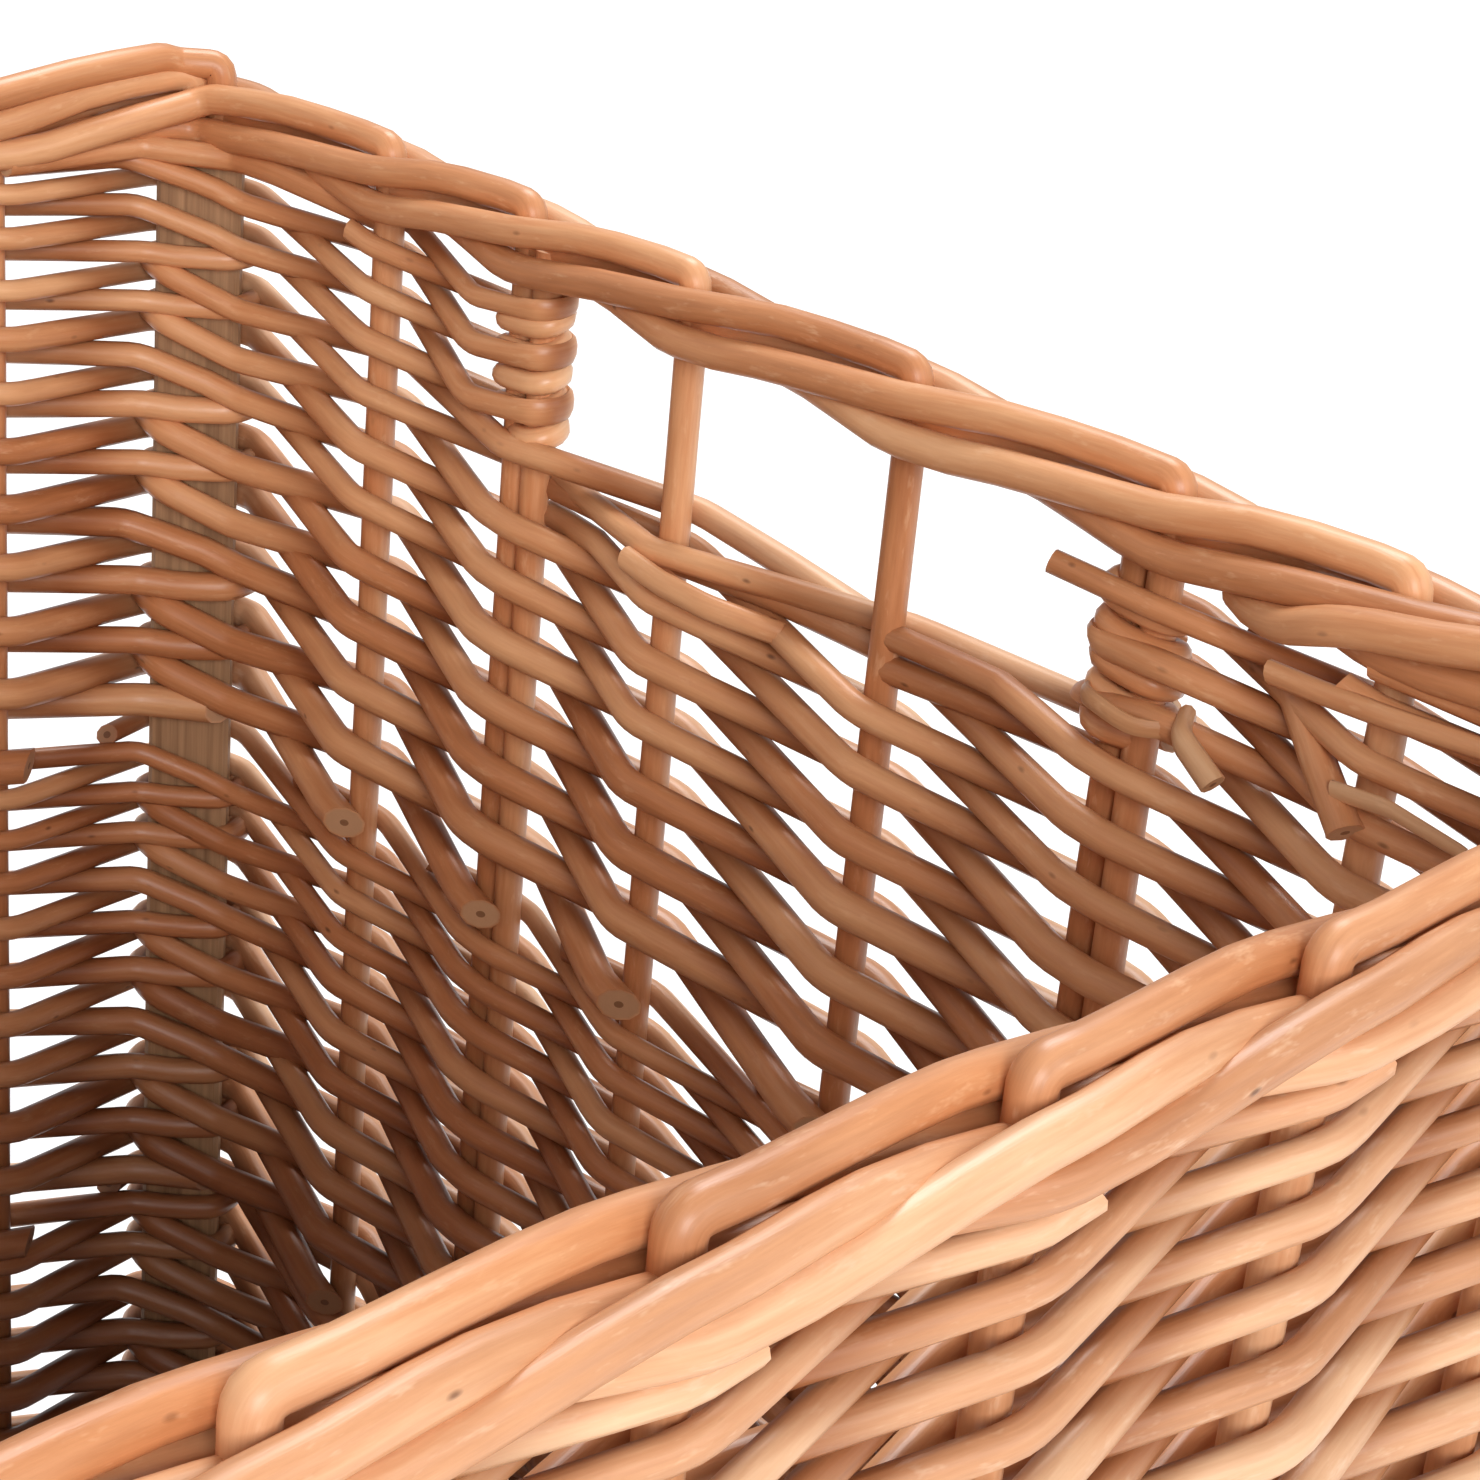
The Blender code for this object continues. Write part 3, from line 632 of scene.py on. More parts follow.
def easedRoute(points, ease, rings=weaving["rings"], grain=weaving["grain"]):
    # straight between the points with the bends eased, and with rings that lie closer where it bends
    fine = [tuple(points[0])]
    for a, b in zip(points, points[1:]):
        cuts = max(1, round((b - a).length / grain))
        fine += [tuple(a.lerp(b, n / cuts)) for n in range(1, cuts + 1)]
    half = max(1, round(ease / grain / 2))
    for again in range(2):
        fine = list(zip(*(averaged([spot[axis] for spot in fine], half) for axis in range(3))))
    return pickRings([Vector(spot) for spot in fine], *rings)


def pickRings(fine, sharpest, longest):
    rings = [fine[0]]
    turned = passed = 0.0
    for before, here, after in zip(fine, fine[1:], fine[2:]):
        passed += (here - before).length
        turned += (after - here).angle(here - before, 0.0)
        if turned > sharpest or passed > longest:
            rings.append(here)
            turned = passed = 0.0
    rings.append(fine[-1])
    return rings


def cornerSpot(corner, ahead, inwards, height):
    middle, outward, along = cornerFrame(corner)
    return middle - outward * inwards + along * ahead + up * height


def outsideOffset(radius):
    # from the line through the stakes to the middle of a rod that lies against them
    return stakeLine["stakeRadius"] + radius + stakeLine["play"] + weaving["sag"]


def cornerOutside(corner, radius, heights):
    offset = outsideOffset(radius)
    shifts = (-0.5, 0.0, 0.5)
    return [place(corner["along"] + shift * arcLength, offset, high) for shift, high in zip(shifts, heights)]


def lathSpots(corner, radius, height, way):
    face = corner["lathFace"] + stakeLine["play"]
    spots = []
    for halves, radii, more, inRadii, inMore, rise in cornerWay[way]:
        ahead = halves * corner["lathHalf"] + radii * radius + more
        spots.append(cornerSpot(corner, ahead, face + inRadii * radius + inMore, height + rise))
    return spots


def directCorner(corner, radius, height, overshoot):
    # steeply up across the lath's face, with a sharp bend past its far edge
    spots = lathSpots(corner, radius, height, "direct")
    spots[-1] += cornerFrame(corner)[2] * overshoot
    return spots


def wrappedCorner(corner, radius, height):
    # across the lath, round behind the corner's stakes, and across the lath again on top of itself
    pressed = cornerWay["pressed"] * radius
    back = cornerOutside(corner, pressed, [height + fall * radius for fall in cornerWay["backFall"]])
    return (lathSpots(corner, radius, height - pressed, "toBack") + back[::-1]
            + lathSpots(corner, radius, height + pressed, "fromBack"))


def straightCrossing(station, side, radius, height):
    # side is 1 outside the basket and -1 inside it
    offset = side * outsideOffset(radius)
    reach = weaving["crossing"]
    if station["kind"] == "pair":
        reach += stakeLine["rodPitch"] / 2
    return [place(station["along"] + way * reach, offset, height + way * weaving["climb"]) for way in (-1, 1)]


def holeSpot(wall, bays, side, radius, height):
    # a place beside an end wall's stake, or between two of them, at a share of the way
    before = [s for s in stations if s["wall"] == wall and s["number"] == math.floor(bays)][0]
    after = stations[(stations.index(before) + 1) % len(stations)]
    along = before["along"] + (bays - math.floor(bays)) * (after["along"] - before["along"])
    return place(along, side * outsideOffset(radius), height)


def roundPair(station, radius, height, way):
    # from behind the pair, round its edge at the hole and over its inner face; way is 1 along the travel
    offset = stakeLine["stakeRadius"] + holeEdge["windingRoom"] + rodForm["pressedTo"] * radius
    edge = 0.5 * stakeLine["rodPitch"] + offset
    rise = holeEdge["wrapRise"] * way
    return [
        place(station["along"] + way * (more + share * edge), across * offset + out, height + rises * rise)
        for more, share, across, out, rises in holeEdge["round"]
    ]


def besidePair(station, side, radius, height, ends):
    offset = side * (stakeLine["stakeRadius"] + holeEdge["windingRoom"] + radius)
    return [place(station["along"] + end, offset, height) for end in ends]


def holeStart(station, level, side, radius, height):
    # how a rod begins at the hole's far edge
    if level in holeEdge["routes"]:
        wall, route = station["wall"], holeEdge["routes"][level].items()
        return [holeSpot(wall, bays, way, radius, holeBottom + high) for bays, (way, high) in route]
    if side > 0:
        return besidePair(station, 1, radius, height, holeEdge["outsideStart"])
    return roundPair(station, radius, height, 1)


def holeEnd(station, level, side, radius, height, topLevel):
    # how a rod ends at the hole's near edge
    if side > 0:
        return besidePair(station, 1, radius, height, holeEdge["outsideEnd"])
    if level == topLevel:
        return besidePair(station, -1, radius, height, holeEdge["stub"])
    return roundPair(station, radius, height, -1)[::-1]


def hasRoom(station, side, height):
    # whether a crossing lies under the hand hole's lower edge
    if not byHole(station):
        return True
    inside, outside = holeEdge["roomUnder"][station["number"]]
    return height < holeBottom + (outside if side > 0 else inside)


def byHole(station):
    return walls[station["wall"]][4] == 6 and station["number"] in holeEdge["bays"]


def buttSpots(station, radius, height):
    if station["kind"] == "corner":
        height -= weaving["cornerButtDrop"]
        face = station["lathFace"] + radius
        return [cornerSpot(station, way * station["lathHalf"], face, height) for way in weaving["cornerButt"]]
    height -= weaving["buttDrop"]
    along, offset = station["along"], -(stakeLine["stakeRadius"] + radius + stakeLine["play"])
    return [place(along + ahead, offset + out, height + rise) for ahead, out, rise in weaving["butt"]]


def crossingSpots(station, level, side, radius, height, overshoot):
    if station["kind"] != "corner":
        return straightCrossing(station, side, radius, height)
    if side > 0:
        return cornerOutside(station, radius, [height + climb for climb in cornerWay["outsideClimb"]])
    if level % cornerWay["cycle"] == cornerWay["remainder"] or level > cornerWay["lastWrap"]:
        return directCorner(station, radius, height, overshoot)
    return wrappedCorner(station, radius, height)


def tuckedSpots(before, station, side, radius, height):
    # on under the hole's lower edge and down behind the rods there
    gap = station["along"] - before["along"]
    behind = 0.0
    if station["kind"] == "pair":
        gap -= stakeLine["rodPitch"] / 2
        behind = holeEdge["behindPair"]
    spots = []
    for way, drop in holeEdge["tuck"]:
        out = behind * (2 * way - 1) - side * holeEdge["tuckOut"] * (1 - way)
        spots.append(place(before["along"] + way * gap, out, height - radius * drop))
    return spots


def newPart(level, spots):
    return {"spots": spots, "from": level, "to": level, "pressed": [0.0, 0.0]}


def weaverParts(first, levels, heights, radiusAt, thick, rng):
    # the route of one rod, in two parts where a hand hole is in its way
    lastLevel = levels - 1
    isTopBand = heights[-1] > holeBottom
    if not isTopBand:
        lastLevel -= lastLevel % 2
    parts = []
    current = None
    for level in range(-1, lastLevel + 1):
        before, station, after = (stations[(first + level + n) % len(stations)] for n in range(3))
        side = 1 if level % 2 == 0 else -1
        radius = radiusAt(max(level, 0)) * thick
        height = heights[max(level, 0)] + rng.uniform(-1, 1) * weaving["jitter"]
        overshoot = rng.uniform(*weaving["overshoot"])
        if level < 0:
            current = newPart(level, buttSpots(station, radius, height))
            continue
        if hasRoom(station, side, height):
            current = current or newPart(level, [])
            current["spots"] += crossingSpots(station, level, side, radius, height, overshoot)
            current["to"] = level
            continue
        if current:
            if station["number"] == holeEdge["bays"][0]:
                current["spots"] += holeEnd(station, level, side, radius, height, lastLevel)
                if side < 0 and level < lastLevel:
                    current["pressed"][1] = weaving["pressedLength"]
            else:
                current["spots"] += tuckedSpots(before, station, side, radius, height)
            current["to"] = level
            parts.append(current)
            current = None
        if station["number"] == holeEdge["bays"][-1]:
            current = newPart(level, holeStart(station, level, side, radius, height))
            if side < 0 and level not in holeEdge["routes"]:
                current["pressed"][0] = weaving["pressedLength"]
    if current:
        spots = current["spots"]
        if isTopBand:
            if after["kind"] == "stake" and not byHole(after):
                radius, height = radius * weaving["lastThin"], height + weaving["lastRise"]
                spots += straightCrossing(after, 1, radius, height)
            tail = spots[-1] - spots[-2]
            spots.append(spots[-1] + tail.normalized() * rng.uniform(*weaving["topTail"]))
        else:
            reach = weaving["tail"] * rng.uniform(*weaving["tailSpread"])
            spots.append(place(station["along"] + reach, 0.0, height + weaving["tailRise"]))
        parts.append({**current, "to": lastLevel})
    return parts


# A short rod that fills each corner between the weave and the border
cornerFill = {
    "radii": (0.0034, 0.0030),
    "underBorder": (0.0284, 0.0270, 0.0268, 0.0262, 0.0252),  # how far under the highest bend it passes
    "rise": 0.0024,
    # over the lath: along in lath halves and in radii, and inwards in radii
    "across": ((-1.0, 0.0, 0.8), (0.2, 0.0, 1.0), (1.0, 1.0, 0.8)),
}


def cornerFiller(corner):
    here = stations.index(corner)
    before, after = stations[here - 1], stations[(here + 1) % len(stations)]
    radius = cornerFill["radii"][0]
    face = corner["lathFace"] + stakeLine["play"]
    highs = [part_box("corner_rod_back_right")[1].z - drop for drop in cornerFill["underBorder"]]
    offset = -(stakeLine["stakeRadius"] + radius)
    halfway = (before["along"] + corner["along"]) / 2
    spots = [
        place(before["along"], 0, highs[0]),
        place(halfway, offset, (highs[0] + highs[1]) / 2 + cornerFill["rise"]),
    ]
    for (halves, radii, inRadii), high in zip(cornerFill["across"], highs[1:]):
        ahead = halves * corner["lathHalf"] + radii * radius
        spots.append(cornerSpot(corner, ahead, face + inRadii * radius, high))
    return spots + [place(after["along"], offset, highs[-1])]


def makeBand(number, band):
    footShare, topShare, levels = band
    rng = random.Random(weaving["seed"] + number)
    foot = weaveFoot + (weaveTop - weaveFoot) * footShare
    top = weaveFoot + (weaveTop - weaveFoot) * topShare
    taper = (weaving["buttRadius"] - weaving["tipRadius"]) / weaving["taperLevels"]

    def radiusAt(level):
        return weaving["buttRadius"] - taper * level

    heights = levelHeights(foot, top, levels, radiusAt)
    pile = newPile()
    buttLean, holeLean, tipLean = weaving["buttLean"]
    for first in range(len(stations)):
        thick = rng.uniform(*weaving["thickness"])
        for part in weaverParts(first, levels, heights, radiusAt, thick, rng):
            start = radiusAt(max(part["from"], 0)) * thick
            end = radiusAt(part["to"] + 0.5) * thick
            facing = part["spots"][0].copy()
            facing.z = 0
            lean = (buttLean if part["from"] < 0 else holeLean, tipLean)
            route = easedRoute(part["spots"], weaving["ease"])
            addRod(pile, route, start, end, rng, weaving["sides"], facing, lean, pressed=part["pressed"])
    if heights[-1] > holeBottom:
        for corner in [s for s in stations if s["kind"] == "corner"]:
            route = easedRoute(cornerFiller(corner), weaving["ease"])
            addRod(pile, route, *cornerFill["radii"], rng, weaving["sides"], up)
    name = weaving["names"][number]
    piece = pileToPiece(name, pile, weaverWillow, [f"weave_{wall[0]}" for wall in walls])
    print(name, pile["rods"], "rods,", len(piece.data.polygons), "faces")


for number, band in enumerate(weaving["bands"]):
    makeBand(number, band)

# Stakes, which bend over at the top and run on as the border. A run is where a rod goes after its bend: how
# many bays on, how far outwards and how high, in rod pitches from the border's middle.
border = {
    "crown": 1.20,
    "overCrown": 2.25,  # the CAD's corner rods
    "loweredCrown": 1.62,  # the same rods here
    "bendRadius": 0.0020,
    "run": ((0.50, -0.35, 1.12), (1.00, -1.06, 0.56), (1.52, -1.12, 0.0), (1.80, -1.10, -0.42),
            (2.00, -0.98, -0.56), (2.24, -0.56, -0.46), (2.48, -0.04, -0.42), (2.74, 0.52, -0.58),
            (3.00, 1.06, -0.58), (4.00, 1.06, 0.52), (4.30, 0.80, 0.60), (4.60, 0.40, 0.36),
            (4.85, 0.10, -0.02), (4.99, 0.0, -0.24)),
    "overRun": ((0.24, -0.16, 1.94), (0.50, -0.52, 1.92), (1.00, -1.06, 1.60), (1.50, -1.46, 1.05),
                (1.80, -1.90, 0.44), (2.00, -2.02, 0.00), (2.20, -1.96, -0.34), (2.50, -1.30, -1.02),
                (2.75, -0.35, -1.38)),
    "underRun": ((0.22, -0.55, 1.92), (0.50, -1.30, 1.40), (0.80, -1.80, 0.70), (1.10, -1.90, 0.05),
                 (1.35, -1.50, -0.72), (1.54, -0.86, -0.98), (1.68, -0.22, -1.04)),  # towards a hand hole
    "firstBays": 0.1,
    "bayStep": 0.005,
    "fromBend": 0.0005,
    "upSteps": 60,
    "bendSteps": 8,
    "runSteps": 90,
    "grain": 0.0012,
    "footRadius": 0.00345,
    "tipRadius": 0.00372,
    "thickness": (0.96, 1.03),
    "tipLean": 0.3,
    "narrowing": (0.034, 0.72),  # over this length the tip narrows to this share
    "sides": 14,
    "seed": 23,
}
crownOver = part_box("corner_rod_back_right")[1].z - stakeLine["stakeRadius"]
borderMiddle = crownOver - border["overCrown"] * stakeLine["rodPitch"]


def bendPlace(station):
    return station["along" if station["kind"] == "corner" else "standing"]


def alongAt(index, bays):
    count = len(stations)
    before = math.floor(bays)
    total = bendPlace(stations[index])
    for n in range(before + 1):
        step = bendPlace(stations[(index + n + 1) % count]) - bendPlace(stations[(index + n) % count])
        total += step % lineLength * (bays - before if n == before else 1)
    return total


def shareAt(bays, stops):
    # outward and up at this many bays, on a smooth curve through the stops
    for i in range(len(stops) - 1):
        if stops[i][0] <= bays <= stops[i + 1][0]:
            break
    gap = stops[i + 1][0] - stops[i][0]
    result = []
    for axis in (1, 2):
        rises = [(b[axis] - a[axis]) / (b[0] - a[0]) for a, b in zip(stops, stops[1:])]

        def slope(at):
            if at == 0:
                return 0.0
            if at == len(stops) - 1:
                return rises[-1]
            left, right = rises[at - 1], rises[at]
            return 2 * left * right / (left + right) if left * right > 0 else 0.0

        ends = (stops[i][axis], stops[i + 1][axis], slope(i) * gap, slope(i + 1) * gap)
        result.append(curveBetween(*ends, (bays - stops[i][0]) / gap))
    return result


def borderRoute(index, standing, crownShare, run):
    pitch = stakeLine["rodPitch"]
    crown = borderMiddle + crownShare * pitch
    bend = border["bendRadius"]
    foot = footOf(stations[index]["node"]).z
    steps = border["upSteps"]
    route = [place(standing, 0, foot + (crown - bend - foot) * n / steps) for n in range(steps)]
    for n in range(border["bendSteps"] + 1):
        angle = math.pi / 2 * n / border["bendSteps"]
        route.append(place(standing + bend * (1 - math.cos(angle)), 0, crown - bend * (1 - math.sin(angle))))
    bays = border["firstBays"]
    while alongAt(index, bays) < standing + bend + border["fromBend"]:
        bays += border["bayStep"]
    stops = [(bays, 0.0, crownShare)] + list(run)
    for n in range(1, border["runSteps"] + 1):
        here = bays + (run[-1][0] - bays) * n / border["runSteps"]
        outward, high = shareAt(here, stops)
        route.append(place(alongAt(index, here), outward * pitch, borderMiddle + high * pitch))
    route = evenRoute(route, border["grain"])
    for again in range(2):
        eased = [(a + b * 2 + c) / 4 for a, b, c in zip(route, route[1:], route[2:])]
        route = [route[0]] + eased + [route[-1]]
    return pickRings(route, *weaving["rings"])


def makeBorder():
    rng = random.Random(border["seed"])
    for index, station in enumerate(stations):
        jobs = [(station["node"], station["standing"], border["crown"], border["run"])]
        if station["kind"] == "corner":
            node = station["node"].replace("corner_stake", "corner_rod")
            standing = station["along"] - stakeLine["rodPitch"] / 2
            towardsHole = walls[(station["wall"] + 1) % 4][4] == 6
            run = border["underRun" if towardsHole else "overRun"]
            jobs.append((node, standing, border["loweredCrown"], run))
        for node, standing, crownShare, run in jobs:
            pile = newPile()
            thick = rng.uniform(*border["thickness"])
            route = borderRoute(index, standing, crownShare, run)
            facing = place(standing, 1.0) - place(standing)
            radii = (border["footRadius"] * thick, border["tipRadius"] * thick)
            lean = (0, border["tipLean"])
            addRod(pile, route, *radii, rng, border["sides"], facing, lean, narrowing=border["narrowing"])
            pileToPiece("willow_" + node, pile, willow, [node])
    print("border:", len(stations) + 4, "rods bent over")


makeBorder()

# The doubled stakes at the hand holes, and the flattened rod wound round them
winding = {
    "byStakeSteps": 70,
    "byStakeTaper": 0.97,
    "turns": 4.5,
    "pointsPerTurn": 28,
    "radius": 0.0030,
    "taper": 0.9,
    "flat": 0.30,
    "lie": 0.8,  # how much of its flattened half thickness it stands off the stakes
    "tuck": (0.004, 0.0006),  # its ends lie between the stakes, this far along and past its last turn
    "step": 0.0018,
    "uneven": 0.0005,
    "wander": (0.06, 10),  # how quickly the unevenness changes along a winding and from one to the next
    "sides": 12,
    "seed": 31,
}


def makeByStake(station, rng):
    node = "by_" + station["node"]
    low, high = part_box(node)
    beside = alongOf(station["wall"], footOf(node))
    steps = winding["byStakeSteps"]
    route = [place(beside, 0, low.z + (high.z - low.z) * n / steps) for n in range(steps + 1)]
    pile = newPile()
    radius = border["footRadius"]
    addRod(pile, route, radius, radius * winding["byStakeTaper"], rng, border["sides"])
    pileToPiece("willow_" + node, pile, willow, [node])


def makeWinding(station, rng):
    node = station["node"].replace("stake", "winding")
    low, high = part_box(node)
    radius = winding["radius"]
    side = 1 if station["number"] == holeEdges[0] else -1
    aside = stakeLine["stakeRadius"] + winding["lie"] * radius * winding["flat"]
    foot, top = low.z + radius, high.z - radius
    tuck, past = winding["tuck"]
    wander = winding["wander"]
    steps = round(winding["turns"] * winding["pointsPerTurn"])
    spots = [place(station["along"] - side * tuck, 0, foot - past)]
    for step in range(2, steps - 1):
        turn = 2 * math.pi * step / winding["pointsPerTurn"]
        across = math.sin(turn)
        forward = stakeLine["rodPitch"] / 2 * max(-1.0, min(1.0, 2 * across)) + aside * across
        uneven = noise.noise(Vector((step * wander[0], station["along"] * wander[1], 0)))
        height = foot + (top - foot) * step / steps + winding["uneven"] * uneven
        spots.append(place(station["along"] + side * forward, -aside * math.cos(turn), height))
    spots.append(place(station["along"] + side * tuck, 0, top + past))
    pile = newPile()
    route = smoothRoute(spots, winding["step"])
    addRod(pile, route, radius, radius * winding["taper"], rng, winding["sides"], up)
    pileToPiece("willow_" + node, pile, paleWillow, [node])


def makeHoleEdges():
    rng = random.Random(winding["seed"])
    for station in stations:
        if station["kind"] == "pair":
            makeByStake(station, rng)
            makeWinding(station, rng)
    print("hand holes: edges wound")


makeHoleEdges()

# Loose ends that lie on the inside of the right end wall; places are across, height and depth
looseEnds = {
    "ease": 0.004,
    "lean": (0.2, 0.2),
    "seed": 37,
    "peeled_ends": {
        "strip": {
            "spots": ((-0.0800, 0.3630, 0.0030), (-0.0850, 0.3656, 0.0105), (-0.0911, 0.3662, 0.0130),
                      (-0.0990, 0.3646, 0.0126), (-0.1070, 0.3652, 0.0060)),
            "radii": (0.0020, 0.0018), "flat": 0.5,
        },
        "tip": {
            "spots": ((-0.1050, 0.3672, 0.0040), (-0.1092, 0.3664, 0.0108), (-0.1197, 0.3613, 0.0122)),
            "radii": (0.0024, 0.0030), "flat": 0.8,
        },
        "frayed": {
            "spots": ((-0.1440, 0.3700, 0.0100), (-0.1560, 0.3716, 0.0100), (-0.1720, 0.3690, 0.0086)),
            "radii": (0.0018, 0.0013), "flat": 0.6,
        },
    },
    "loose_ends": {
        "thin": {
            "spots": ((-0.1250, 0.3850, 0.0080), (-0.1462, 0.3866, 0.0094), (-0.1740, 0.3890, 0.0084)),
            "radii": (0.0023, 0.0020), "flat": 0.8,
        },
        "butt": {
            "spots": ((-0.1120, 0.3850, -0.0040), (-0.1250, 0.3796, 0.0000), (-0.1380, 0.3705, 0.0060),
                      (-0.1490, 0.3638, 0.0110)),
            "radii": (0.0028, 0.0036), "flat": 1.0,
        },
        "flatTip": {
            "spots": ((0.0466, 0.3458, 0.0108), (0.0366, 0.3447, 0.0114), (0.0200, 0.3440, 0.0104),
                      (0.0060, 0.3415, 0.0020)),
            "radii": (0.0029, 0.0029), "flat": 0.85,
        },
    },
}


def makeLooseEnds():
    rng = random.Random(looseEnds["seed"])
    for name, material in (("peeled_ends", peeledWillow), ("loose_ends", weaverWillow)):
        pile = newPile()
        for end in looseEnds[name].values():
            spots = [Vector((halfLength - depth, across, height)) for across, height, depth in end["spots"]]
            route = easedRoute(spots, looseEnds["ease"])
            addRod(pile, route, *end["radii"], rng, weaving["sides"], up, looseEnds["lean"], end["flat"])
        pileToPiece(name, pile, material, ["weave_right_end"])
        print(name, pile["rods"])


makeLooseEnds()

# Base: bottom sticks, and one long rod woven to and fro across them
base = {
    "sticks": 9,
    "stickRadius": 0.0032,
    "stickTaper": 0.85,
    "stickSteps": 60,
    "stickEnd": 0.002,  # from the end of the base
    "sideGap": 0.012,  # from the side of the base to the first stick's middle
    "weaverRadius": 0.0018,
    "weaverSides": 7,
    "weaverEdge": 0.0006,
    "endGap": 0.006,
    "underneath": 0.0002,
    "lift": 0.0001,
    "pitch": 0.0042,
    "turn": 0.2,  # how far a turn leans towards the next pass, in pitches
    "ease": 0.004,
    "rings": (0.3, 0.02),
    "grain": 0.0015,
    "seed": 41,
}


def makeBase():
    rng = random.Random(base["seed"])
    low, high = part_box("base_weave")
    middle = low.z + base["stickRadius"] + 2 * base["weaverRadius"] + base["underneath"]
    first, last = low.y + base["sideGap"], high.y - base["sideGap"]
    rows = [first + (last - first) * n / (base["sticks"] - 1) for n in range(base["sticks"])]
    start, end = low.x + base["stickEnd"], high.x - base["stickEnd"]
    steps = base["stickSteps"]
    pile = newPile()
    radii = (base["stickRadius"], base["stickRadius"] * base["stickTaper"])
    for y in rows:
        route = [Vector((start + (end - start) * n / steps, y, middle)) for n in range(steps + 1)]
        addRod(pile, route, *radii, rng, weaving["sides"])
    pileToPiece("bottom_sticks", pile, willow, [f"base_stick_{n}" for n in range(1, 5)])
    inset = base["weaverRadius"] + base["weaverEdge"]
    passes = int((high.x - low.x - 2 * (inset + base["endGap"])) / base["pitch"])
    lift = base["stickRadius"] + base["weaverRadius"] + base["lift"]
    turn = base["pitch"] * base["turn"]
    spots = []
    for n in range(passes):
        x = (n - (passes - 1) / 2) * base["pitch"]
        way = 1 if n % 2 == 0 else -1
        ends = (low.y + inset, high.y - inset)[::way]
        overs = [Vector((x, y, middle + lift * (-1) ** (n + k))) for k, y in enumerate(rows)]
        spots += [Vector((x - turn, ends[0], middle))] + overs[::way] + [Vector((x + turn, ends[1], middle))]
    pile = newPile()
    route = easedRoute(spots, base["ease"], base["rings"], base["grain"])
    addRod(pile, route, base["weaverRadius"], base["weaverRadius"], rng, base["weaverSides"], up)
    pileToPiece("base_weaving", pile, willow, ["base_weave"])
    print("base:", passes, "passes over", base["sticks"], "sticks")


makeBase()

# The thick band of rods round the foot of the stakes
wale = {
    "levels": 3,
    "above": 0.0014,  # how far the top level reaches into the weave
    "pressed": 0.0001,  # how far a level's rods are pressed into the next
    "underneath": 0.0002,
    "baysPerRod": 7,
    "shift": 3,  # of a level's rods against the one below, in bays
    "tuck": 1.2,  # how far in a rod's ends lie, in radii
    "startAhead": 0.006,
    "between": 0.4,  # how far out a rod runs between two stakes, in radii
    "step": 0.006,
    "taper": 0.92,
    "seed": 47,
}


def waleSpots(first, radius, height):
    # one rod's route outside the stakes, with its two ends tucked in
    spots = []
    bays = wale["baysPerRod"]
    for n in range(bays + 1):
        station, after = (stations[(first + n + more) % len(stations)] for more in (0, 1))
        if station["kind"] == "corner":
            spots += cornerOutside(station, radius, (height, height, height))
        else:
            out = stakeLine["stakeRadius"] + radius + stakeLine["play"]
            if n in (0, bays):
                out -= wale["tuck"] * radius
            spots.append(place(station["along"] + (wale["startAhead"] if n == 0 else 0), out, height))
        if n < bays and "corner" not in (station["kind"], after["kind"]):
            halfway = station["along"] + (after["along"] - station["along"]) % lineLength / 2
            spots.append(place(halfway, stakeLine["stakeRadius"] + wale["between"] * radius, height))
    return spots


def makeWale():
    rng = random.Random(wale["seed"])
    low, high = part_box("bottom_wale")
    pile = newPile()
    spacing = (high.z + wale["above"] - low.z) / wale["levels"]
    radius = spacing / 2 + wale["pressed"]
    for level in range(wale["levels"]):
        height = low.z + wale["underneath"] + radius + level * spacing
        shift = level * wale["shift"]
        for first in range(shift, shift + len(stations), wale["baysPerRod"]):
            along = stations[first % len(stations)]["along"]
            facing = place(along, 1.0) - place(along)
            route = smoothRoute(waleSpots(first, radius, height), wale["step"])
            addRod(pile, route, radius, radius * wale["taper"], rng, weaving["sides"], facing)
    pileToPiece("foot_wale", pile, willow, ["bottom_wale"])
    print("wale:", pile["rods"], "rods")


makeWale()

# Corner laths keep their CAD shape, with sawn wood on it
lathLooks = {
    "dark": (0.18, 0.085, 0.036),
    "light": (0.50, 0.28, 0.140),
    "shades": (0.36, 0.78),
    "grain": ((420.0, 420.0, 9.0), 5.0, 0.65),
    "grainShare": 0.75,
    "patches": ((30.0, 30.0, 6.0), 2.0, 0.5),
    "patchShare": 0.4,
    "roughness": 0.62,
    "bump": (0.35, 0.0004),  # strength and height
}


def makeLathWood():
    material, tree, shader = newMaterial("sawnLath")
    spot = addNode(tree, "ShaderNodeTexCoord").outputs["Object"]
    grain = noiseNode(tree, spot, *lathLooks["grain"])
    patch = noiseNode(tree, spot, *lathLooks["patches"])
    shade = mathNode(tree, "MULTIPLY", grain, lathLooks["grainShare"])
    shade = mathNode(tree, "ADD", shade, mathNode(tree, "MULTIPLY", patch, lathLooks["patchShare"]))
    colour = rampNode(tree, shade, list(zip(lathLooks["shades"], (lathLooks["dark"], lathLooks["light"]))))
    linkTo(tree, colour, shader.inputs["Base Color"])
    shader.inputs["Roughness"].default_value = lathLooks["roughness"]
    addBump(tree, shader, grain, *lathLooks["bump"])
    return material


lathWood = makeLathWood()
for name in cornerNames:
    lath = cadNodes["corner_lath_" + name]
    lath.data.materials.clear()
    lath.data.materials.append(lathWood)
print("laths: 4")

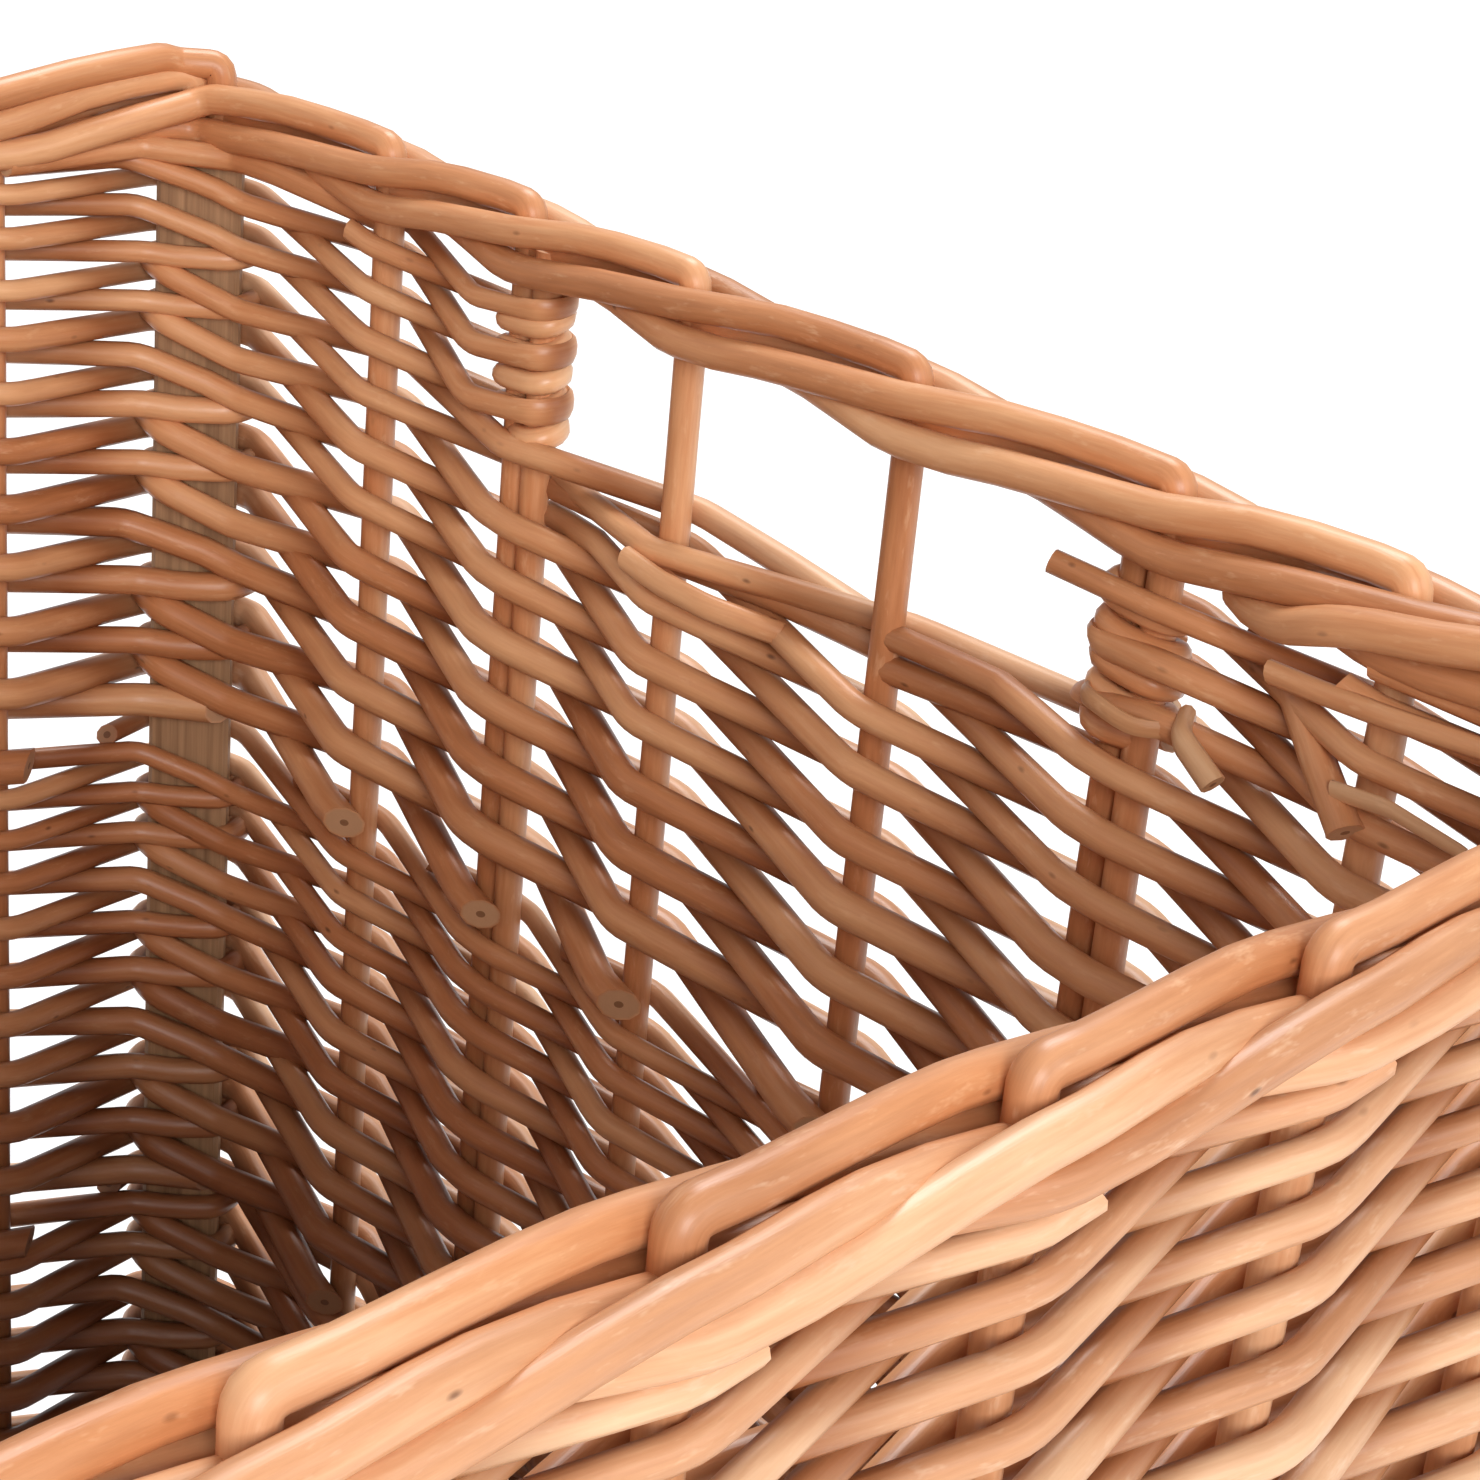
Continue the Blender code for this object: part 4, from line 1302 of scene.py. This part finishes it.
# Floor, light and camera
stage = {
    "floorSize": 30.0,
    "floorColour": (0.78, 0.78, 0.78),
    "floorRoughness": 0.9,
    "shownColour": (0.34, 0.34, 0.34),  # what the camera sees of the floor: its shadow on white
    "shownGlow": 0.80,
    "worldStrength": 0.46,
    "keyPower": 50.0,
    "keySize": 1.1,
    "keyPlace": (-1.1, -2.1, 1.35),
    "fillPower": 12.0,
    "fillPlace": (0.9, -2.2, 1.5),
    "backPower": 58.0,
    "backPlace": (1.3, 1.0, 2.7),
    "lampTarget": (0, 0, 0.2),
}
view = {
    "yaw": 44.09,
    "pitch": 24.88,
    "roll": 5.49,
    "focal": 3346.4,  # in pixels of a 1480 wide picture
    "width": 1480,
    "fromCorner": (-0.4589, -0.6815, 0.2095),  # from the back right corner, at the bends' height
    "bendHeight": 0.4080,
    "clipStart": 0.01,
}


def makeFloor():
    bm = bmesh.new()
    bmesh.ops.create_grid(bm, x_segments=1, y_segments=1, size=stage["floorSize"] / 2)
    mesh = bpy.data.meshes.new("floor")
    bm.to_mesh(mesh)
    bm.free()
    floor = bpy.data.objects.new("floor", mesh)
    bpy.context.scene.collection.objects.link(floor)
    material, tree, shader = newMaterial("paleFloor")
    shader.inputs["Base Color"].default_value = (*stage["floorColour"], 1.0)
    shader.inputs["Roughness"].default_value = stage["floorRoughness"]
    shown = addNode(tree, "ShaderNodeBsdfDiffuse")
    shown.inputs["Color"].default_value = (*stage["shownColour"], 1.0)
    glow = addNode(tree, "ShaderNodeEmission")
    glow.inputs["Strength"].default_value = stage["shownGlow"]
    both = addNode(tree, "ShaderNodeAddShader")
    linkTo(tree, shown.outputs[0], both.inputs[0])
    linkTo(tree, glow.outputs[0], both.inputs[1])
    rays = addNode(tree, "ShaderNodeLightPath")
    seen = mathNode(tree, "MAXIMUM", rays.outputs["Is Camera Ray"], rays.outputs["Is Glossy Ray"])
    mix = addNode(tree, "ShaderNodeMixShader")
    linkTo(tree, seen, mix.inputs["Fac"])
    linkTo(tree, shader.outputs[0], mix.inputs[1])
    linkTo(tree, both.outputs[0], mix.inputs[2])
    linkTo(tree, mix.outputs[0], tree.nodes["Material Output"].inputs["Surface"])
    mesh.materials.append(material)
    floor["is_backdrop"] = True


def makeWorld():
    world = bpy.data.worlds.new("studio")
    bpy.context.scene.world = world
    world.use_nodes = True
    tree = world.node_tree
    light = tree.nodes["Background"]
    light.inputs["Color"].default_value = (1, 1, 1, 1)
    light.inputs["Strength"].default_value = stage["worldStrength"]
    shown = addNode(tree, "ShaderNodeBackground")
    shown.inputs["Color"].default_value = (1, 1, 1, 1)
    rays = addNode(tree, "ShaderNodeLightPath")
    mix = addNode(tree, "ShaderNodeMixShader")
    linkTo(tree, rays.outputs["Is Camera Ray"], mix.inputs["Fac"])
    linkTo(tree, light.outputs[0], mix.inputs[1])
    linkTo(tree, shown.outputs[0], mix.inputs[2])
    linkTo(tree, mix.outputs[0], tree.nodes["World Output"].inputs["Surface"])


def makeLamp(name, power, size, spot):
    lamp = bpy.data.objects.new(name, bpy.data.lights.new(name, "AREA"))
    lamp.data.energy = power
    lamp.data.size = size
    lamp.location = spot
    lamp.rotation_euler = (Vector(stage["lampTarget"]) - Vector(spot)).to_track_quat("-Z", "Y").to_euler()
    bpy.context.scene.collection.objects.link(lamp)


def makeCamera():
    yaw, pitch, roll = (math.radians(view[key]) for key in ("yaw", "pitch", "roll"))
    forward = Vector((math.sin(yaw) * math.cos(pitch), math.cos(yaw) * math.cos(pitch), -math.sin(pitch)))
    level = forward.cross(up).normalized()
    above = level.cross(forward)
    right = level * math.cos(roll) + above * math.sin(roll)
    top = above * math.cos(roll) - level * math.sin(roll)
    camera = bpy.data.objects.new("camera", bpy.data.cameras.new("camera"))
    bpy.context.scene.collection.objects.link(camera)
    spot = Vector((halfLength, halfWidth, view["bendHeight"])) + Vector(view["fromCorner"])
    turn = Matrix((right, top, -forward)).transposed().to_4x4()
    camera.matrix_world = Matrix.Translation(spot) @ turn
    camera.data.sensor_width = 36.0
    camera.data.lens = view["focal"] / view["width"] * 36.0
    camera.data.clip_start = view["clipStart"]
    bpy.context.scene.camera = camera


makeFloor()
makeWorld()
makeLamp("key", stage["keyPower"], stage["keySize"], stage["keyPlace"])
makeLamp("fill", stage["fillPower"], stage["keySize"], stage["fillPlace"])
makeLamp("back", stage["backPower"], stage["keySize"], stage["backPlace"])
makeCamera()
bpy.context.scene.view_settings.view_transform = "Standard"
print("studio: floor, light and camera")

[[list(corner) for corner in box] for box in (cadBox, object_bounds())]
